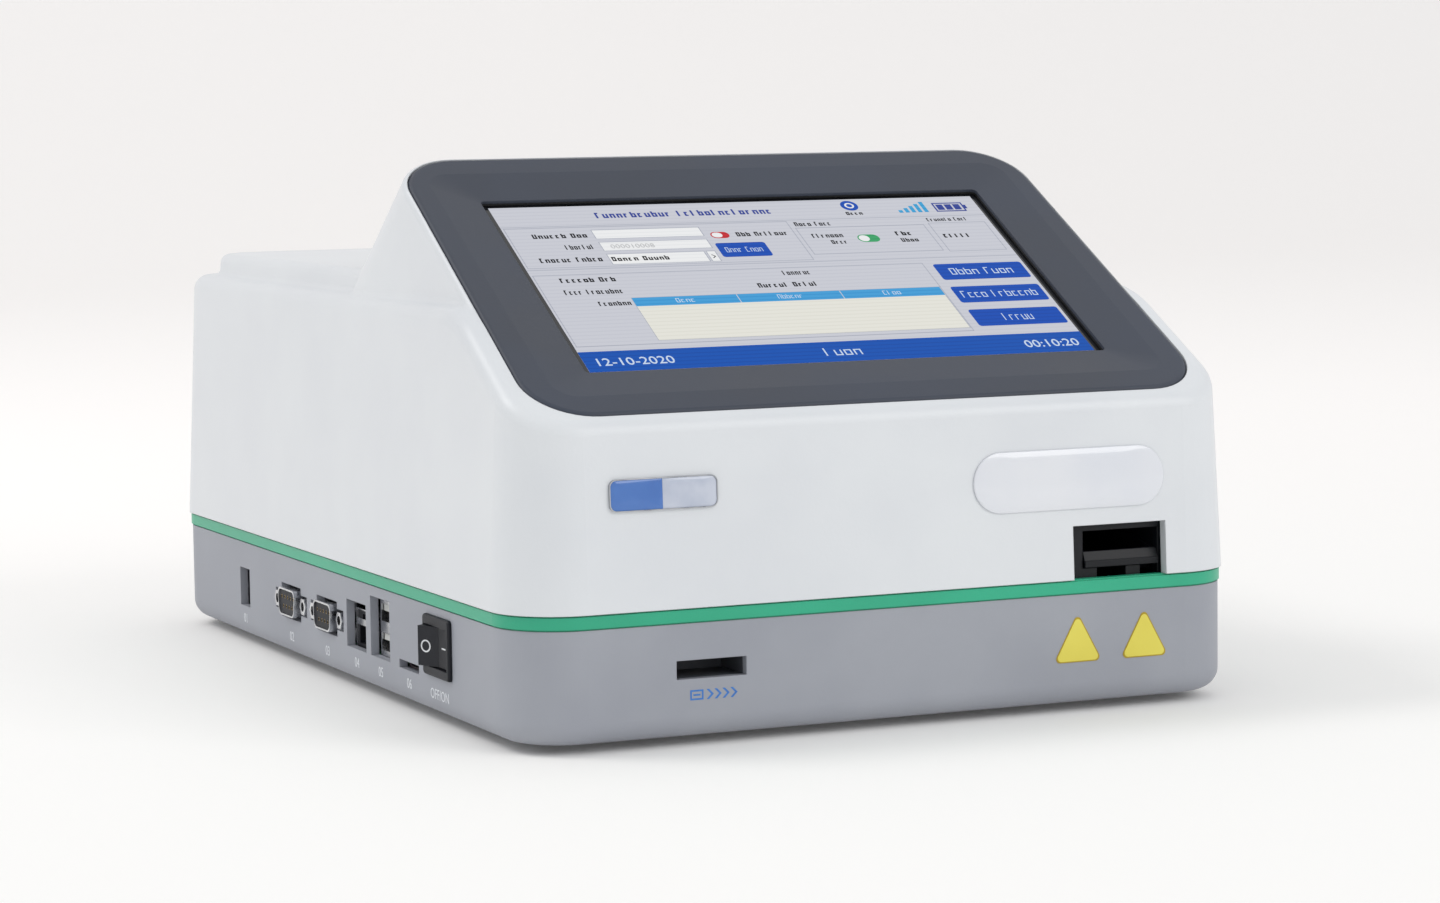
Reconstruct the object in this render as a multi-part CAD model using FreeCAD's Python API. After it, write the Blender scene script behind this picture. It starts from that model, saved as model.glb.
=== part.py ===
import FreeCAD, Part
import math
import os
from FreeCAD import Placement, Rotation, Vector

os.makedirs("parts", exist_ok=True)

# A bench-top reader for rapid test cassettes. Millimetres, +Z up, front towards -Y, +X to the right
# seen from the front. The origin is the bottom centre of the footprint, on the surface it stands on.

# ---------------------------------------------------------------- driving sizes: casing
casing_side = 9.0
body_depth = 318.0
corner_radius = 20.0
foot_lift = 2.5
foot_radius = 8.0
foot_seat_depth = 1.0
foot_seat_gap = 0.2
foot_side_margin = 29.7
foot_end_margin = 39.0
base_height = 30.7
base_wall = 2.5
base_floor = 2.5
base_inset = 1.0
base_bottom_round = 6.0
band_height = 4.1
band_inset = 0.6
band_width = 3.4
groove_height = 0.45
groove_depth = 0.8
cover_wall = 3.0
cover_draft = 2.7
ledge_rise = 17.35
shoulder_round = 5.0
ridge_blend = 42.0
deck_rise = 7.0
deck_round = 3.0
deck_corner = 18.0
deck_flare = 1.2
deck_side = 9.2
deck_back_margin = 15.0
fit_gap = 0.25
case_boss_radius = 4.2
case_boss_offset = 5.7
case_boss_height = 28.0
case_screw_radius = 1.5
case_screw_head = 2.9
screw_head_gap = 0.3
case_boss_floor = 2.0
case_head_height = 2.4
case_head_level = 12.0
case_hole_gap = 0.1
web_thickness = 2.0
vent_count = 11
vent_pitch = 5.2
vent_width = 2.4
vent_height = 14.0
vent_level = 19.0
floor_vent_count = 9
floor_vent_length = 46.0

# ---------------------------------------------------------------- driving sizes: display
screen_tilt = 29.44
screen_width = 154.1
screen_height = 85.9
screen_from_front = 28.5
screen_level = 65.15
face_rise = 2.6
face_wall = 5.0
bezel_bottom_side = 23.95
bezel_top_side = 21.35
bezel_below = 24.3
bezel_above = 23.0
bezel_corner = 17.5
bezel_recess = 2.0
bezel_fit = 0.25
bezel_edge_round = 1.4
bezel_proud = 0.4
bezel_inner_round = 1.5
bezel_dish_width = 13.0
bezel_dish_depth = 1.5
bezel_dish_corner = 7.0
rim_width = 1.3
rim_round = 2.0
tier_foot_round = 2.4
edge_samples = (0.2, 0.5, 0.8)
touch_gap = 0.01
hump_depth = 55.0
hump_side_flare = 3.6
hump_back_flare = 24.0
hump_corner_growth = 6.0
mask_side = 2.2
mask_top = 1.5
mask_bottom = 2.4
glass_margin = 4.3
glass_thickness = 1.1
gasket_width = 3.0
module_thickness = 5.5
bracket_thickness = 1.5
bracket_lip = 7.0
bracket_boss_margin = 10.3
ear_margin = 5.0
bracket_boss_radius = 3.2
bracket_screw_radius = 1.25
bracket_screw_head = 2.3
bracket_screw_head_height = 1.6
boss_floor = 0.7
pocket_gap = 0.4
pan_recess = 0.6
bracket_rim = 14.0
bracket_base = 34.0
bracket_top = 12.0
display_board_gap = 3.0
display_chip = (9.0, 8.0, 22.0, 1.4)
display_plug = (14.0, 30.0, 10.0, 15.0, 3.0)
display_board_half = 40.0
display_board_height = 30.0
display_board_inset = 4.0
display_screw_radius = 1.0
display_screw_head = 1.9
display_screw_head_height = 1.2

# ---------------------------------------------------------------- driving sizes: card tray drive
slot_right_margin = 26.5
slot_width = 29.3
slot_height = 14.9
tray_width = 23.2
tray_slot_gap = 0.8
tray_length = 96.0
tray_set_back = 3.2
tray_rise = 2.8
tray_plate = 1.8
tray_wall = 1.4
tray_lip_height = 4.3
tray_lip_depth = 2.6
tray_wall_height = 8.4
tray_ramp = 15.0
cassette_length = 70.0
tray_out_travel = 60.0
slide_gap = 0.3
tooth_module = 0.8
pinion_teeth = 16
pressure_angle = 20.0
tooth_play = 0.14
rack_width = 5.0
pinion_width = 4.4
guide_wall = 3.0
guide_floor = 2.0
guide_roof = 1.8
guide_length = 126.0
tab_length = 9.0
tab_width = 12.0
motor_radius = 10.0
motor_length = 14.0
motor_shaft_radius = 1.5
motor_plate_margin = 1.5
gearbox_length = 5.0
shaft_depth = 4.0
guide_rail_drop = 5.8
guide_head_room = 2.0
guide_flange = 2.0
guide_boss_radius = 3.6
guide_tab_thickness = 2.5
rail_width = 4.5
band_clearance = 0.3
optic_length = 26.0
optic_height = 22.0
optic_chamfer = 11.0
optic_forward = 57.2
optic_inset = 1.0
optic_board_length = 30.0
optic_chip = 8.0
optic_chip_edge = 4.0
optic_chip_height = 1.4
optic_plug_start = 21.0
optic_plug_width = 6.0
optic_plug_side = 5.0
optic_plug_height = 5.0
lens_radius = 5.2
lens_thickness = 2.0
lens_ledge = 0.8
lens_port_depth = 9.0
barrel_radius = 4.4
barrel_length = 9.0
barrel_cap_radius = 3.2
barrel_cap_length = 3.0

# ---------------------------------------------------------------- driving sizes: left-hand ports
board_thickness = 1.6
board_level = 11.0
board_width = 86.0
board_front = 9.0
board_back = 259.0
board_wall_gap = 1.2
port_set_back = 0.2
switch_from_front = 62.8
switch_length = 20.8
switch_height = 16.8
switch_level = 22.45
rocker_length = 17.6
rocker_height = 11.0
rocker_tilt = 12.0
rocker_gap = 0.3
memory_slot_from_front = 87.7
memory_slot_width = 16.4
memory_slot_height = 2.4
usb_from_front = 112.1
usb_cut_width = 16.6
usb_cut_height = 17.2
usb_pitch = 8.4
lan_from_front = 133.3
lan_cut_width = 17.3
lan_cut_height = 13.8
serial_from_front = (195.2, 160.5)
serial_level = 19.6
serial_post_spacing = 24.99
serial_post_thread_radius = 1.42
power_from_front = 243.0
power_cut_width = 10.0
power_cut_height = 12.1
power_low = 12.9
power_body_half = 4.6
power_body_height = 11.2
power_body_depth = 14.0
power_bore_radius = 3.2
power_bore_depth = 9.5
power_pin_radius = 1.0
power_pin_set_back = 0.8
power_bore_height = 6.2
board_notch_x = 34.0
board_notch_y = 32.0
board_hole_gap = 0.2
board_corner = 1.5
board_chips = (
    (-2.0, -22.0, 32.0, 32.0, 3.0, 1.5),
    (2.0, 16.0, 12.0, 10.0, 1.2, 0.3),
    (-12.0, 60.0, 12.0, 12.0, 6.0, 2.0),
    (6.0, 60.0, 12.0, 12.0, 6.0, 2.0),
    (22.0, 84.0, 14.0, 6.0, 8.0, 0.5),
)
buzzer_place = (18.0, -60.0)
buzzer_radius = 6.0
buzzer_hole_radius = 1.0
buzzer_height = 7.5
cell_radius = 6.2
cell_height = 3.2
cell_inset = 24.0
cell_from_front = 84.0
standoff_radius = 3.2
board_screw_radius = 1.4
board_screw_head = 2.6
board_screw_head_height = 1.8
board_screw_length = 7.0
port_sill = 0.4
memory_sill = 0.1
serial_cut_width = 19.0
serial_cut_height = 10.4
serial_lobe_width = 30.8
serial_lobe_height = 6.2
serial_set_back = 1.8
serial_stem_radius = 1.4
serial_shell_out = 1.7
serial_shell_wall = 0.5
serial_flange_thickness = 0.8
serial_flange_half_y = 15.4
serial_flange_half_z = 6.2
serial_body_depth = 11.0
serial_half_y = 8.6
serial_half_z = 4.2
serial_corner = 2.2
serial_slant = 10.0
serial_pin_pitch = 2.77
serial_row_offset = 1.42
serial_pin_radius = 0.6
serial_stem_length = 4.0
post_flat = 4.8
post_length = 4.8
post_thread_floor = 0.6
lan_width = 15.6
lan_height = 11.7
lan_depth = 18.0
lan_skin = 0.4
lan_socket_half = 5.9
lan_socket_height = 6.8
lan_socket_depth = 13.0
lan_latch_half = 3.1
lan_latch_height = 2.0
lan_floor = 1.4
lan_strip_rise = 6.9
lan_strip_height = 1.9
lan_contact_count = 8
lan_contact_pitch = 1.02
lan_contact_height = 0.9
lan_contact_set_back = 2.0
usb_width = 14.4
usb_height = 17.0
usb_depth = 17.5
usb_middle = 21.4
usb_mouth_width = 12.5
usb_mouth_height = 5.1
usb_mouth_depth = 13.0
usb_tongue_half = 5.6
usb_tongue_height = 1.85
usb_tongue_rise = 0.4
usb_tongue_set_back = 0.6
memory_body_half = 7.2
memory_body_depth = 15.0
memory_back = 2.0
memory_body_height = 2.4
memory_card_half = 5.6
memory_card_height = 1.0
switch_body_length = 19.4
switch_body_height = 14.0
switch_bezel_thickness = 1.2
switch_bezel_corner = 1.2
switch_bezel_round = 0.7
switch_depth = 18.0
rocker_pivot_inset = 1.6
rocker_pivot_radius = 1.2
rocker_pivot_length = 0.7
rocker_cavity_depth = 9.8
rocker_middle_rise = 1.8
rocker_underside = 6.0
terminal_pitch = 6.0
terminal_length = 7.0
terminal_width = 4.8
terminal_thickness = 0.8

# ---------------------------------------------------------------- driving sizes: card reader, printer
id_from_left = 55.1
id_slot_width = 20.2
id_slot_height = 5.0
id_slot_level = 18.4
id_socket_depth = 16.0
id_socket_wall = 3.0
id_contact_count = 6
id_contact_pitch = 2.54
id_contact_height = 0.45
id_contact_width = 1.2
id_contact_set_back = 1.5
id_back_wall = 2.0
printer_width = 86.0
printer_length = 80.0
printer_depth = 50.0
printer_wall = 2.0
printer_flange = 3.0
printer_flange_thickness = 1.5
paper_width = 58.0
lid_thickness = 2.6
platen_radius = 4.8
platen_shaft_radius = 2.0
lid_pin_radius = 1.2
running_gap = 0.05
hinge_barrel_radius = 2.4
lid_hinge_margin = 5.0
lid_overlap = 4.6
lid_skin = 1.4
pin_reach = 3.4
paper_side_gap = 1.5
roll_radius = 27.0
paper_lip = 11.3
paper_exit_gap = 1.3
lip_height = 4.5
head_pocket_front = 5.5
platen_from_front = 17.0
platen_below_deck = 10.0
platen_length = 57.2
ear_thickness = 1.2
ear_radius = 3.6
ear_reach = 9.0
head_angle = 40.0
head_thickness = 3.4
heater_thickness = 0.6
heater_half_length = 4.0
head_half_length = 6.6
head_half_width = 28.0
tear_bar_width = 1.4
tear_bar_height = 1.6
tear_teeth = 30
tear_tooth_depth = 0.7
finger_scoop_radius = 14.0
finger_scoop_depth = 2.2
button_from_side = 4.5
button_forward = 25.0
button_width = 6.4
button_length = 13.4
button_height = 4.0
button_round = 2.0
button_travel = 1.8
button_stem_radius = 1.5
button_stem_length = 10.0

# ---------------------------------------------------------------- derived levels
body_width = screen_width + 2 * (bezel_bottom_side + casing_side)
left_x = -body_width / 2
right_x = body_width / 2
front_y = -body_depth / 2
back_y = body_depth / 2
base_top = foot_lift + base_height
floor_top = foot_lift + base_floor
band_top = base_top + band_height
tilt = math.radians(screen_tilt)
screen_y = front_y + screen_from_front
screen_z = base_top + screen_level
ledge_z = screen_z + ledge_rise
deck_z = ledge_z + deck_rise
board_top = board_level + board_thickness


# ---------------------------------------------------------------- helpers
def box(x0, x1, y0, y1, z0, z1):
    return Part.makeBox(x1 - x0, y1 - y0, z1 - z0, Vector(x0, y0, z0))


def bar(x0, x1, y, half_y, z, half_z):
    """A box along x, centred on y and z."""
    return box(x0, x1, y - half_y, y + half_y, z - half_z, z + half_z)


def rod(radius, start, end):
    axis = Vector(*end) - Vector(*start)
    return Part.makeCylinder(radius, axis.Length, Vector(*start), axis)


def rod_x(radius, x0, x1, y, z):
    return rod(radius, (x0, y, z), (x1, y, z))


def rod_z(radius, x, y, z0, z1):
    return rod(radius, (x, y, z0), (x, y, z1))


def ring(outer, inner, start, end):
    return rod(outer, start, end).cut(rod(inner, start, end))


def rounded_wire(points, radii, to_space):
    """A closed outline through 2-D points with each corner rounded by its own radius."""
    ends = []
    edges = []
    count = len(points)
    for i, (point, radius) in enumerate(zip(points, radii)):
        here = Vector(point[0], point[1], 0)
        before = Vector(*points[i - 1], 0)
        after = Vector(*points[(i + 1) % count], 0)
        to_before = (before - here).normalize()
        to_after = (after - here).normalize()
        half = to_before.getAngle(to_after) / 2
        reach = radius / math.tan(half)
        start = here + to_before * reach
        end = here + to_after * reach
        inward = (to_before + to_after).normalize()
        middle = here + inward * (radius / math.sin(half) - radius)
        ends.append((start, middle, end))
    for i in range(count):
        start, middle, end = [to_space(p.x, p.y) for p in ends[i]]
        if radii[i] > 0:
            edges.append(Part.Arc(start, middle, end).toShape())
        next_start = to_space(ends[(i + 1) % count][0].x, ends[(i + 1) % count][0].y)
        edges.append(Part.makeLine(end, next_start))
    return Part.Wire(edges)


def level(z):
    return lambda a, b: Vector(a, b, z)


def side_plane(x):
    return lambda a, b: Vector(x, a, b)


def prism(wire, direction):
    return Part.Face(wire).extrude(direction)


def rounded_block(x0, x1, y0, y1, z0, z1, radius):
    corners = [(x0, y0), (x1, y0), (x1, y1), (x0, y1)]
    return prism(rounded_wire(corners, [radius] * 4, level(z0)), Vector(0, 0, z1 - z0))


def joined(shapes):
    whole = shapes[0].multiFuse(shapes[1:]) if len(shapes) > 1 else shapes[0]
    return whole.removeSplitter()


def cut_all(shape, tools):
    return shape.cut(tuple(tools))


def on_display(shape):
    """Carries a shape drawn flat (x across, y up the slope, z off the glass) to the sloping face."""
    placed = shape.copy()
    placed.Placement = Placement(
        Vector(0, screen_y, screen_z), Rotation(Vector(1, 0, 0), screen_tilt)
    ).multiply(shape.Placement)
    return placed


def plan_outline(inset, z):
    half_x = body_width / 2 - inset
    half_y = body_depth / 2 - inset
    corners = [(-half_x, -half_y), (half_x, -half_y), (half_x, half_y), (-half_x, half_y)]
    return rounded_wire(corners, [corner_radius - inset] * 4, level(z))


def face_level(y, height):
    """Z of the plane that lies the given height off the glass, at depth y."""
    return screen_z + (y - screen_y) * math.tan(tilt) + height / math.cos(tilt)


# ---------------------------------------------------------------- casing: cover
bezel_bottom_width = screen_width + 2 * bezel_bottom_side
bezel_top_width = screen_width + 2 * bezel_top_side
hump_front = 0.0
hump_back = screen_height + bezel_above + rim_width
hump_half_top = bezel_top_width / 2 + rim_width
bezel_length = bezel_below + screen_height + bezel_above
bezel_taper = (bezel_bottom_width - bezel_top_width) / 2 / bezel_length
hump_corner = bezel_corner + rim_width


def tub_form(inset, face_inset, top_inset, bottom):
    """The drafted box with its sloping front, before the upper tier is added."""
    peak = face_level(back_y, 0)
    lean = math.tan(math.radians(cover_draft))
    low = plan_outline(inset + (bottom - band_top) * lean, bottom)
    high = plan_outline(inset + (peak - band_top) * lean, peak)
    walls = Part.makeLoft([low, high], True, True)
    height = face_rise - face_inset
    top = ledge_z - top_inset
    ridge_y = screen_y + (top - screen_z - height / math.cos(tilt)) / math.tan(tilt)
    start_y = front_y - corner_radius
    end_y = back_y + corner_radius
    outline = [
        (start_y, bottom - corner_radius),
        (start_y, face_level(start_y, height)),
        (ridge_y, top),
        (end_y, top),
        (end_y, bottom - corner_radius),
    ]
    side = rounded_wire(outline, [0, 0, ridge_blend, 0, 0], side_plane(-body_width))
    return walls.common(prism(side, Vector(2 * body_width, 0, 0)))


def hump_form(inset, face_inset):
    """The wedge behind the screen: its sides and back flare away below the sloping face."""

    def outline(depth):
        share = depth / hump_depth
        half_top = hump_half_top + hump_side_flare * share - inset
        back = hump_back + hump_back_flare * share - inset
        half_front = half_top + bezel_taper * (back - hump_front)
        radius = hump_corner + hump_corner_growth * share - inset
        corners = [(-half_front, hump_front), (half_front, hump_front), (half_top, back), (-half_top, back)]
        return rounded_wire(corners, [0, 0, radius, radius], level(face_rise - depth))

    return Part.makeLoft([outline(face_inset), outline(hump_depth)], True, True)


def deck_form(inset, top_inset):
    """The raised rear deck that the printer is let into."""
    back = back_y - deck_back_margin - inset
    front = screen_y + screen_height * math.cos(tilt) - corner_radius

    def outline(z, flare):
        half = body_width / 2 - deck_side - inset + flare
        corners = [(-half, front), (half, front), (half, back + flare), (-half, back + flare)]
        return rounded_wire(corners, [0, 0, deck_corner - inset, deck_corner - inset], level(z))

    low = ledge_z - deck_rise - inset
    return Part.makeLoft([outline(low, deck_flare), outline(deck_z - top_inset, 0)], True, True)


def tub_shoulder(shape):
    """The edges where the sloping face and the ledge meet the side walls."""
    chosen = []
    for edge in shape.Edges:
        middle = edge.valueAt((edge.FirstParameter + edge.LastParameter) / 2)
        lowest = min(v.Z for v in edge.Vertexes)
        across_top = abs(middle.x) < 1 and front_y + corner_radius < middle.y < back_y - corner_radius
        if lowest > band_top + 1 and not across_top:
            chosen.append(edge)
    return chosen


def edges_at(shape, level_of, value, tolerance=0.01):
    """Edges whose every vertex gives the same value, apart from edges that start outside it."""
    return [e for e in shape.Edges if all(abs(level_of(v) - value) < tolerance for v in e.Vertexes)]


def meeting_edges(shape, forms):
    """The edges of a joined shape that lie on two of the forms it was joined from."""
    chosen = []
    for edge in shape.Edges:
        span = edge.LastParameter - edge.FirstParameter
        points = [Part.Vertex(edge.valueAt(edge.FirstParameter + share * span)) for share in edge_samples]
        touched = [form for form in forms if all(form.distToShape(p)[0] < touch_gap for p in points)]
        if len(touched) > 1:
            chosen.append(edge)
    return chosen


def cover_shell():
    tub = tub_form(0, 0, 0, band_top)
    tub = tub.makeFillet(shoulder_round, tub_shoulder(tub))
    hump = hump_form(0, 0)
    rim_edges = [
        e
        for e in edges_at(hump, lambda v: v.Z, face_rise)
        if max(v.Y for v in e.Vertexes) > hump_front + 1
    ]
    hump = on_display(hump.makeFillet(rim_round, rim_edges))
    deck = deck_form(0, 0)
    deck_front = min(v.Y for v in deck.Vertexes)
    deck_edges = [
        e for e in edges_at(deck, lambda v: v.Z, deck_z) if max(v.Y for v in e.Vertexes) > deck_front + 1
    ]
    deck = deck.makeFillet(deck_round, deck_edges)
    tiers = (tub, hump, deck)
    outer = joined(list(tiers))
    outer = outer.makeFillet(tier_foot_round, meeting_edges(outer, tiers))
    inner = joined(
        [
            tub_form(cover_wall, face_wall, cover_wall, band_top - groove_height),
            on_display(hump_form(cover_wall, face_wall)),
            deck_form(cover_wall, cover_wall),
        ]
    )
    return outer.cut(inner)


# ---------------------------------------------------------------- casing: openings and bosses
slot_x1 = right_x - slot_right_margin
slot_x0 = slot_x1 - slot_width
glass_half = screen_width / 2 + mask_side + glass_margin
glass_low = -(mask_bottom + glass_margin)
glass_high = screen_height + mask_top + glass_margin
hump_back_lean = hump_back_flare / hump_depth
hump_foot_depth = (screen_z + hump_back * math.sin(tilt) + face_rise * math.cos(tilt) - deck_z) / (
    math.cos(tilt) - hump_back_lean * math.sin(tilt)
)
hump_foot_y = (
    screen_y
    + (hump_back + hump_back_lean * hump_foot_depth) * math.cos(tilt)
    + (hump_foot_depth - face_rise) * math.sin(tilt)
)
printer_y = (hump_foot_y + back_y - deck_back_margin) / 2
printer_y0 = printer_y - printer_length / 2
printer_y1 = printer_y + printer_length / 2
case_boss_x = body_width / 2 - corner_radius + case_boss_offset
case_boss_y = body_depth / 2 - corner_radius + case_boss_offset
case_bosses = [(sx * case_boss_x, sy * case_boss_y) for sx in (-1, 1) for sy in (-1, 1)]
bracket_bosses = [
    (sx * (glass_half + bracket_lip - 1.0), v)
    for sx in (-1, 1)
    for v in (bracket_boss_margin, screen_height - bracket_boss_margin)
]
module_back = -(glass_thickness + module_thickness)


def bezel_outline(gap, z):
    low_half = bezel_bottom_width / 2 + gap
    high_half = bezel_top_width / 2 + gap
    low = -bezel_below - gap
    high = screen_height + bezel_above + gap
    corners = [(-low_half, low), (low_half, low), (high_half, high), (-high_half, high)]
    return rounded_wire(corners, [bezel_corner + gap] * 4, level(z))


def corner_web(x, y, z0, z1, inset):
    """A rib that ties a screw boss to the rounded corner of the wall behind it."""
    direction = Vector(math.copysign(1, x), math.copysign(1, y), 0).normalize()
    reach = corner_radius - inset - case_boss_offset * math.sqrt(2) + 0.5
    web = box(0, reach, -web_thickness / 2, web_thickness / 2, z0, z1)
    angle = math.degrees(math.atan2(direction.y, direction.x))
    web.Placement = Placement(Vector(x, y, 0), Rotation(Vector(0, 0, 1), angle))
    return web


def top_cover():
    shell = cover_shell()
    boss_top = base_top + case_boss_height
    outside = plan_outline(0, band_top)
    keep = prism(outside, Vector(0, 0, case_boss_height))
    bosses = []
    for x, y in case_bosses:
        lean = math.tan(math.radians(cover_draft)) * case_boss_height
        bosses.append(rod_z(case_boss_radius, x, y, base_top, boss_top))
        bosses.append(corner_web(x, y, band_top, boss_top, cover_wall / 2 + lean).common(keep))
    low = face_rise - face_wall
    for x, v in bracket_bosses:
        boss = rod_z(bracket_boss_radius, x, v, low + web_thickness / 2, module_back)
        bosses.append(on_display(boss))
    shell = joined([shell] + bosses)
    floor = face_rise - bezel_recess
    half = glass_half + pocket_gap
    pocket = box(-half, half, glass_low - pocket_gap, glass_high + pocket_gap, module_back, face_rise)
    cuts = [
        on_display(prism(bezel_outline(bezel_fit, floor), Vector(0, 0, 4 * face_wall))),
        on_display(pocket),
        box(slot_x0, slot_x1, front_y - 1, front_y + cover_wall * 2, band_top - 1, band_top + slot_height),
        printer_block(fit_gap, deck_z - 2 * cover_wall, deck_z + 1, 0),
        printer_block(fit_gap, deck_z - printer_flange_thickness, deck_z + 1, printer_flange),
    ]
    for x, y in case_bosses:
        cuts.append(rod_z(case_screw_radius + case_hole_gap, x, y, base_top - 1, boss_top - case_boss_floor))
    for x, v in bracket_bosses:
        hole = rod_z(bracket_screw_radius + running_gap, x, v, module_back - 1, low - boss_floor)
        cuts.append(on_display(hole))
    return cut_all(shell, cuts)


def printer_block(gap, z0, z1, margin):
    half = printer_width / 2 + margin + gap
    radius = 2.0 + margin
    return rounded_block(-half, half, printer_y0 - margin - gap, printer_y1 + margin + gap, z0, z1, radius)


def trim_band():
    height = Vector(0, 0, band_height)
    inner = prism(plan_outline(band_inset + band_width, base_top), height)
    core = prism(plan_outline(band_inset + groove_depth, base_top), height)
    face_height = Vector(0, 0, band_height - 2 * groove_height)
    face = prism(plan_outline(band_inset, base_top + groove_height), face_height)
    return joined([core, face]).cut(inner)


# ---------------------------------------------------------------- casing: base
wall_face_x = left_x + base_inset
wall_back_x = wall_face_x + base_wall
front_wall_y = front_y + base_inset + base_wall
id_x = left_x + id_from_left
id_front = front_wall_y + port_set_back
id_back = id_front + id_socket_depth
id_end = id_back - id_back_wall
board_x0 = wall_back_x + board_wall_gap
board_x1 = board_x0 + board_width
board_y0 = front_wall_y + board_front - base_wall
board_y1 = front_y + board_back
board_holes = [
    (board_x0 + 7, board_y0 + board_notch_y + 6),
    (board_x0 + 7, board_y1 - 6),
    (board_x1 - 6, board_y0 + 6),
    (board_x1 - 6, (board_y0 + board_y1) / 2),
    (board_x1 - 6, board_y1 - 6),
]
feet = [
    (sx * (body_width / 2 - foot_side_margin), sy * (body_depth / 2 - foot_end_margin))
    for sx in (-1, 1)
    for sy in (-1, 1)
]


def wall_cut(y, z0, z1, width):
    """A square-edged window through the left wall of the base."""
    return box(wall_face_x - 1, wall_back_x + 0.5, y - width / 2, y + width / 2, z0, z1)


def port_y(from_front):
    return front_y + from_front


def port_windows():
    cuts = []
    for from_front in serial_from_front:
        y = port_y(from_front)
        for width, height in (
            (serial_cut_width, serial_cut_height),
            (serial_lobe_width, serial_lobe_height),
        ):
            cuts.append(wall_cut(y, serial_level - height / 2, serial_level + height / 2, width))
    low = board_top + port_sill
    cuts.append(wall_cut(port_y(lan_from_front), low, low + lan_cut_height, lan_cut_width))
    cuts.append(wall_cut(port_y(usb_from_front), low, low + usb_cut_height, usb_cut_width))
    low = board_top + memory_sill
    cuts.append(wall_cut(port_y(memory_slot_from_front), low, low + memory_slot_height, memory_slot_width))
    half = switch_body_height / 2 + case_hole_gap
    width = switch_body_length + 2 * case_hole_gap
    cuts.append(wall_cut(port_y(switch_from_front), switch_level - half, switch_level + half, width))
    high = power_low + power_cut_height
    cuts.append(wall_cut(port_y(power_from_front), power_low, high, power_cut_width))
    return cuts


def base_shell():
    outer = prism(plan_outline(base_inset, foot_lift), Vector(0, 0, base_height))
    outer = outer.makeFillet(base_bottom_round, edges_at(outer, lambda v: v.Z, foot_lift))
    inner = prism(plan_outline(base_inset + base_wall, floor_top), Vector(0, 0, base_height))
    inner = inner.makeFillet(base_bottom_round - base_wall, edges_at(inner, lambda v: v.Z, floor_top))
    shell = outer.cut(inner)
    added = []
    for x, y in case_bosses:
        added.append(rod_z(case_boss_radius, x, y, foot_lift + 1, base_top))
        added.append(corner_web(x, y, floor_top - 1, base_top, base_inset + base_wall / 2))
    for x, y in board_holes:
        added.append(rod_z(standoff_radius, x, y, floor_top - 1, board_level))
    for x, y in guide_bosses():
        added.append(rod_z(guide_boss_radius, x, y, floor_top - 1, guide_z0))
    shell = joined([shell] + [form.common(outer) for form in added])
    cuts = port_windows()
    for x, y in case_bosses:
        cuts.append(rod_z(case_screw_head + screw_head_gap, x, y, foot_lift - 1, case_head_level))
        cuts.append(rod_z(case_screw_radius + case_hole_gap, x, y, foot_lift, base_top + 1))
    for x, y in board_holes:
        cuts.append(rod_z(board_screw_radius + running_gap, x, y, floor_top, board_level + 1))
    for x, y in guide_bosses():
        low = guide_z0 - board_screw_length
        cuts.append(rod_z(board_screw_radius + running_gap, x, y, low, guide_z0 + 1))
    for x, y in feet:
        cuts.append(rod_z(foot_radius + foot_seat_gap, x, y, foot_lift - 1, foot_lift + foot_seat_depth))
    half = id_slot_width / 2
    slot_top = id_slot_level + id_slot_height
    cuts.append(box(id_x - half, id_x + half, front_y - 1, front_wall_y + 1, id_slot_level, slot_top))
    rear = back_y - base_inset
    half = vent_width / 2
    low = vent_level - vent_height / 2
    for i in range(vent_count):
        x = (i - (vent_count - 1) / 2) * vent_pitch
        cuts.append(box(x - half, x + half, rear - base_wall - 1, rear + 1, low, low + vent_height))
    y0 = printer_y - floor_vent_length / 2
    for i in range(floor_vent_count):
        x = (i - (floor_vent_count - 1) / 2) * vent_pitch
        cuts.append(box(x - half, x + half, y0, y0 + floor_vent_length, foot_lift - 1, floor_top + 1))
    return cut_all(shell, cuts)


def rubber_feet():
    shapes = []
    for x, y in feet:
        foot = rod(foot_radius, (x, y, 0), (x, y, foot_lift + foot_seat_depth))
        shapes.append(foot.makeChamfer(foot_seat_depth / 2, edges_at(foot, lambda v: v.Z, 0)))
    return Part.makeCompound(shapes)


def screws(places, shank, head, head_height, shank_span, head_below):
    """Pan-head screws. Each place is x, y and the level that its head bears on."""
    shapes = []
    for x, y, z in places:
        sign = -1 if head_below else 1
        cap = rod(head, (x, y, z), (x, y, z + sign * head_height))
        outer = edges_at(cap, lambda v: v.Z, z + sign * head_height)
        cap = cap.makeChamfer(head_height / 3, outer)
        drive = rod(head * 0.4, (x, y, z + sign * head_height), (x, y, z + sign * head_height * 0.4))
        body = rod(shank, (x, y, z), (x, y, z - sign * shank_span))
        shapes.append(joined([cap, body]).cut(drive))
    return Part.makeCompound(shapes)


def case_screws():
    places = [(x, y, case_head_level) for x, y in case_bosses]
    length = base_top + case_boss_height - 3 - case_head_level
    return screws(places, case_screw_radius, case_screw_head, case_head_height, length, True)


# ---------------------------------------------------------------- display
def display_window(spread, z, corner):
    """The outline of the opening over the display, spread outwards by the given width."""
    half = screen_width / 2 + mask_side + spread
    low = -mask_bottom - spread
    high = screen_height + mask_top + spread
    corners = [(-half, low), (half, low), (half, high), (-half, high)]
    return rounded_wire(corners, [corner] * 4, level(z))


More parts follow.
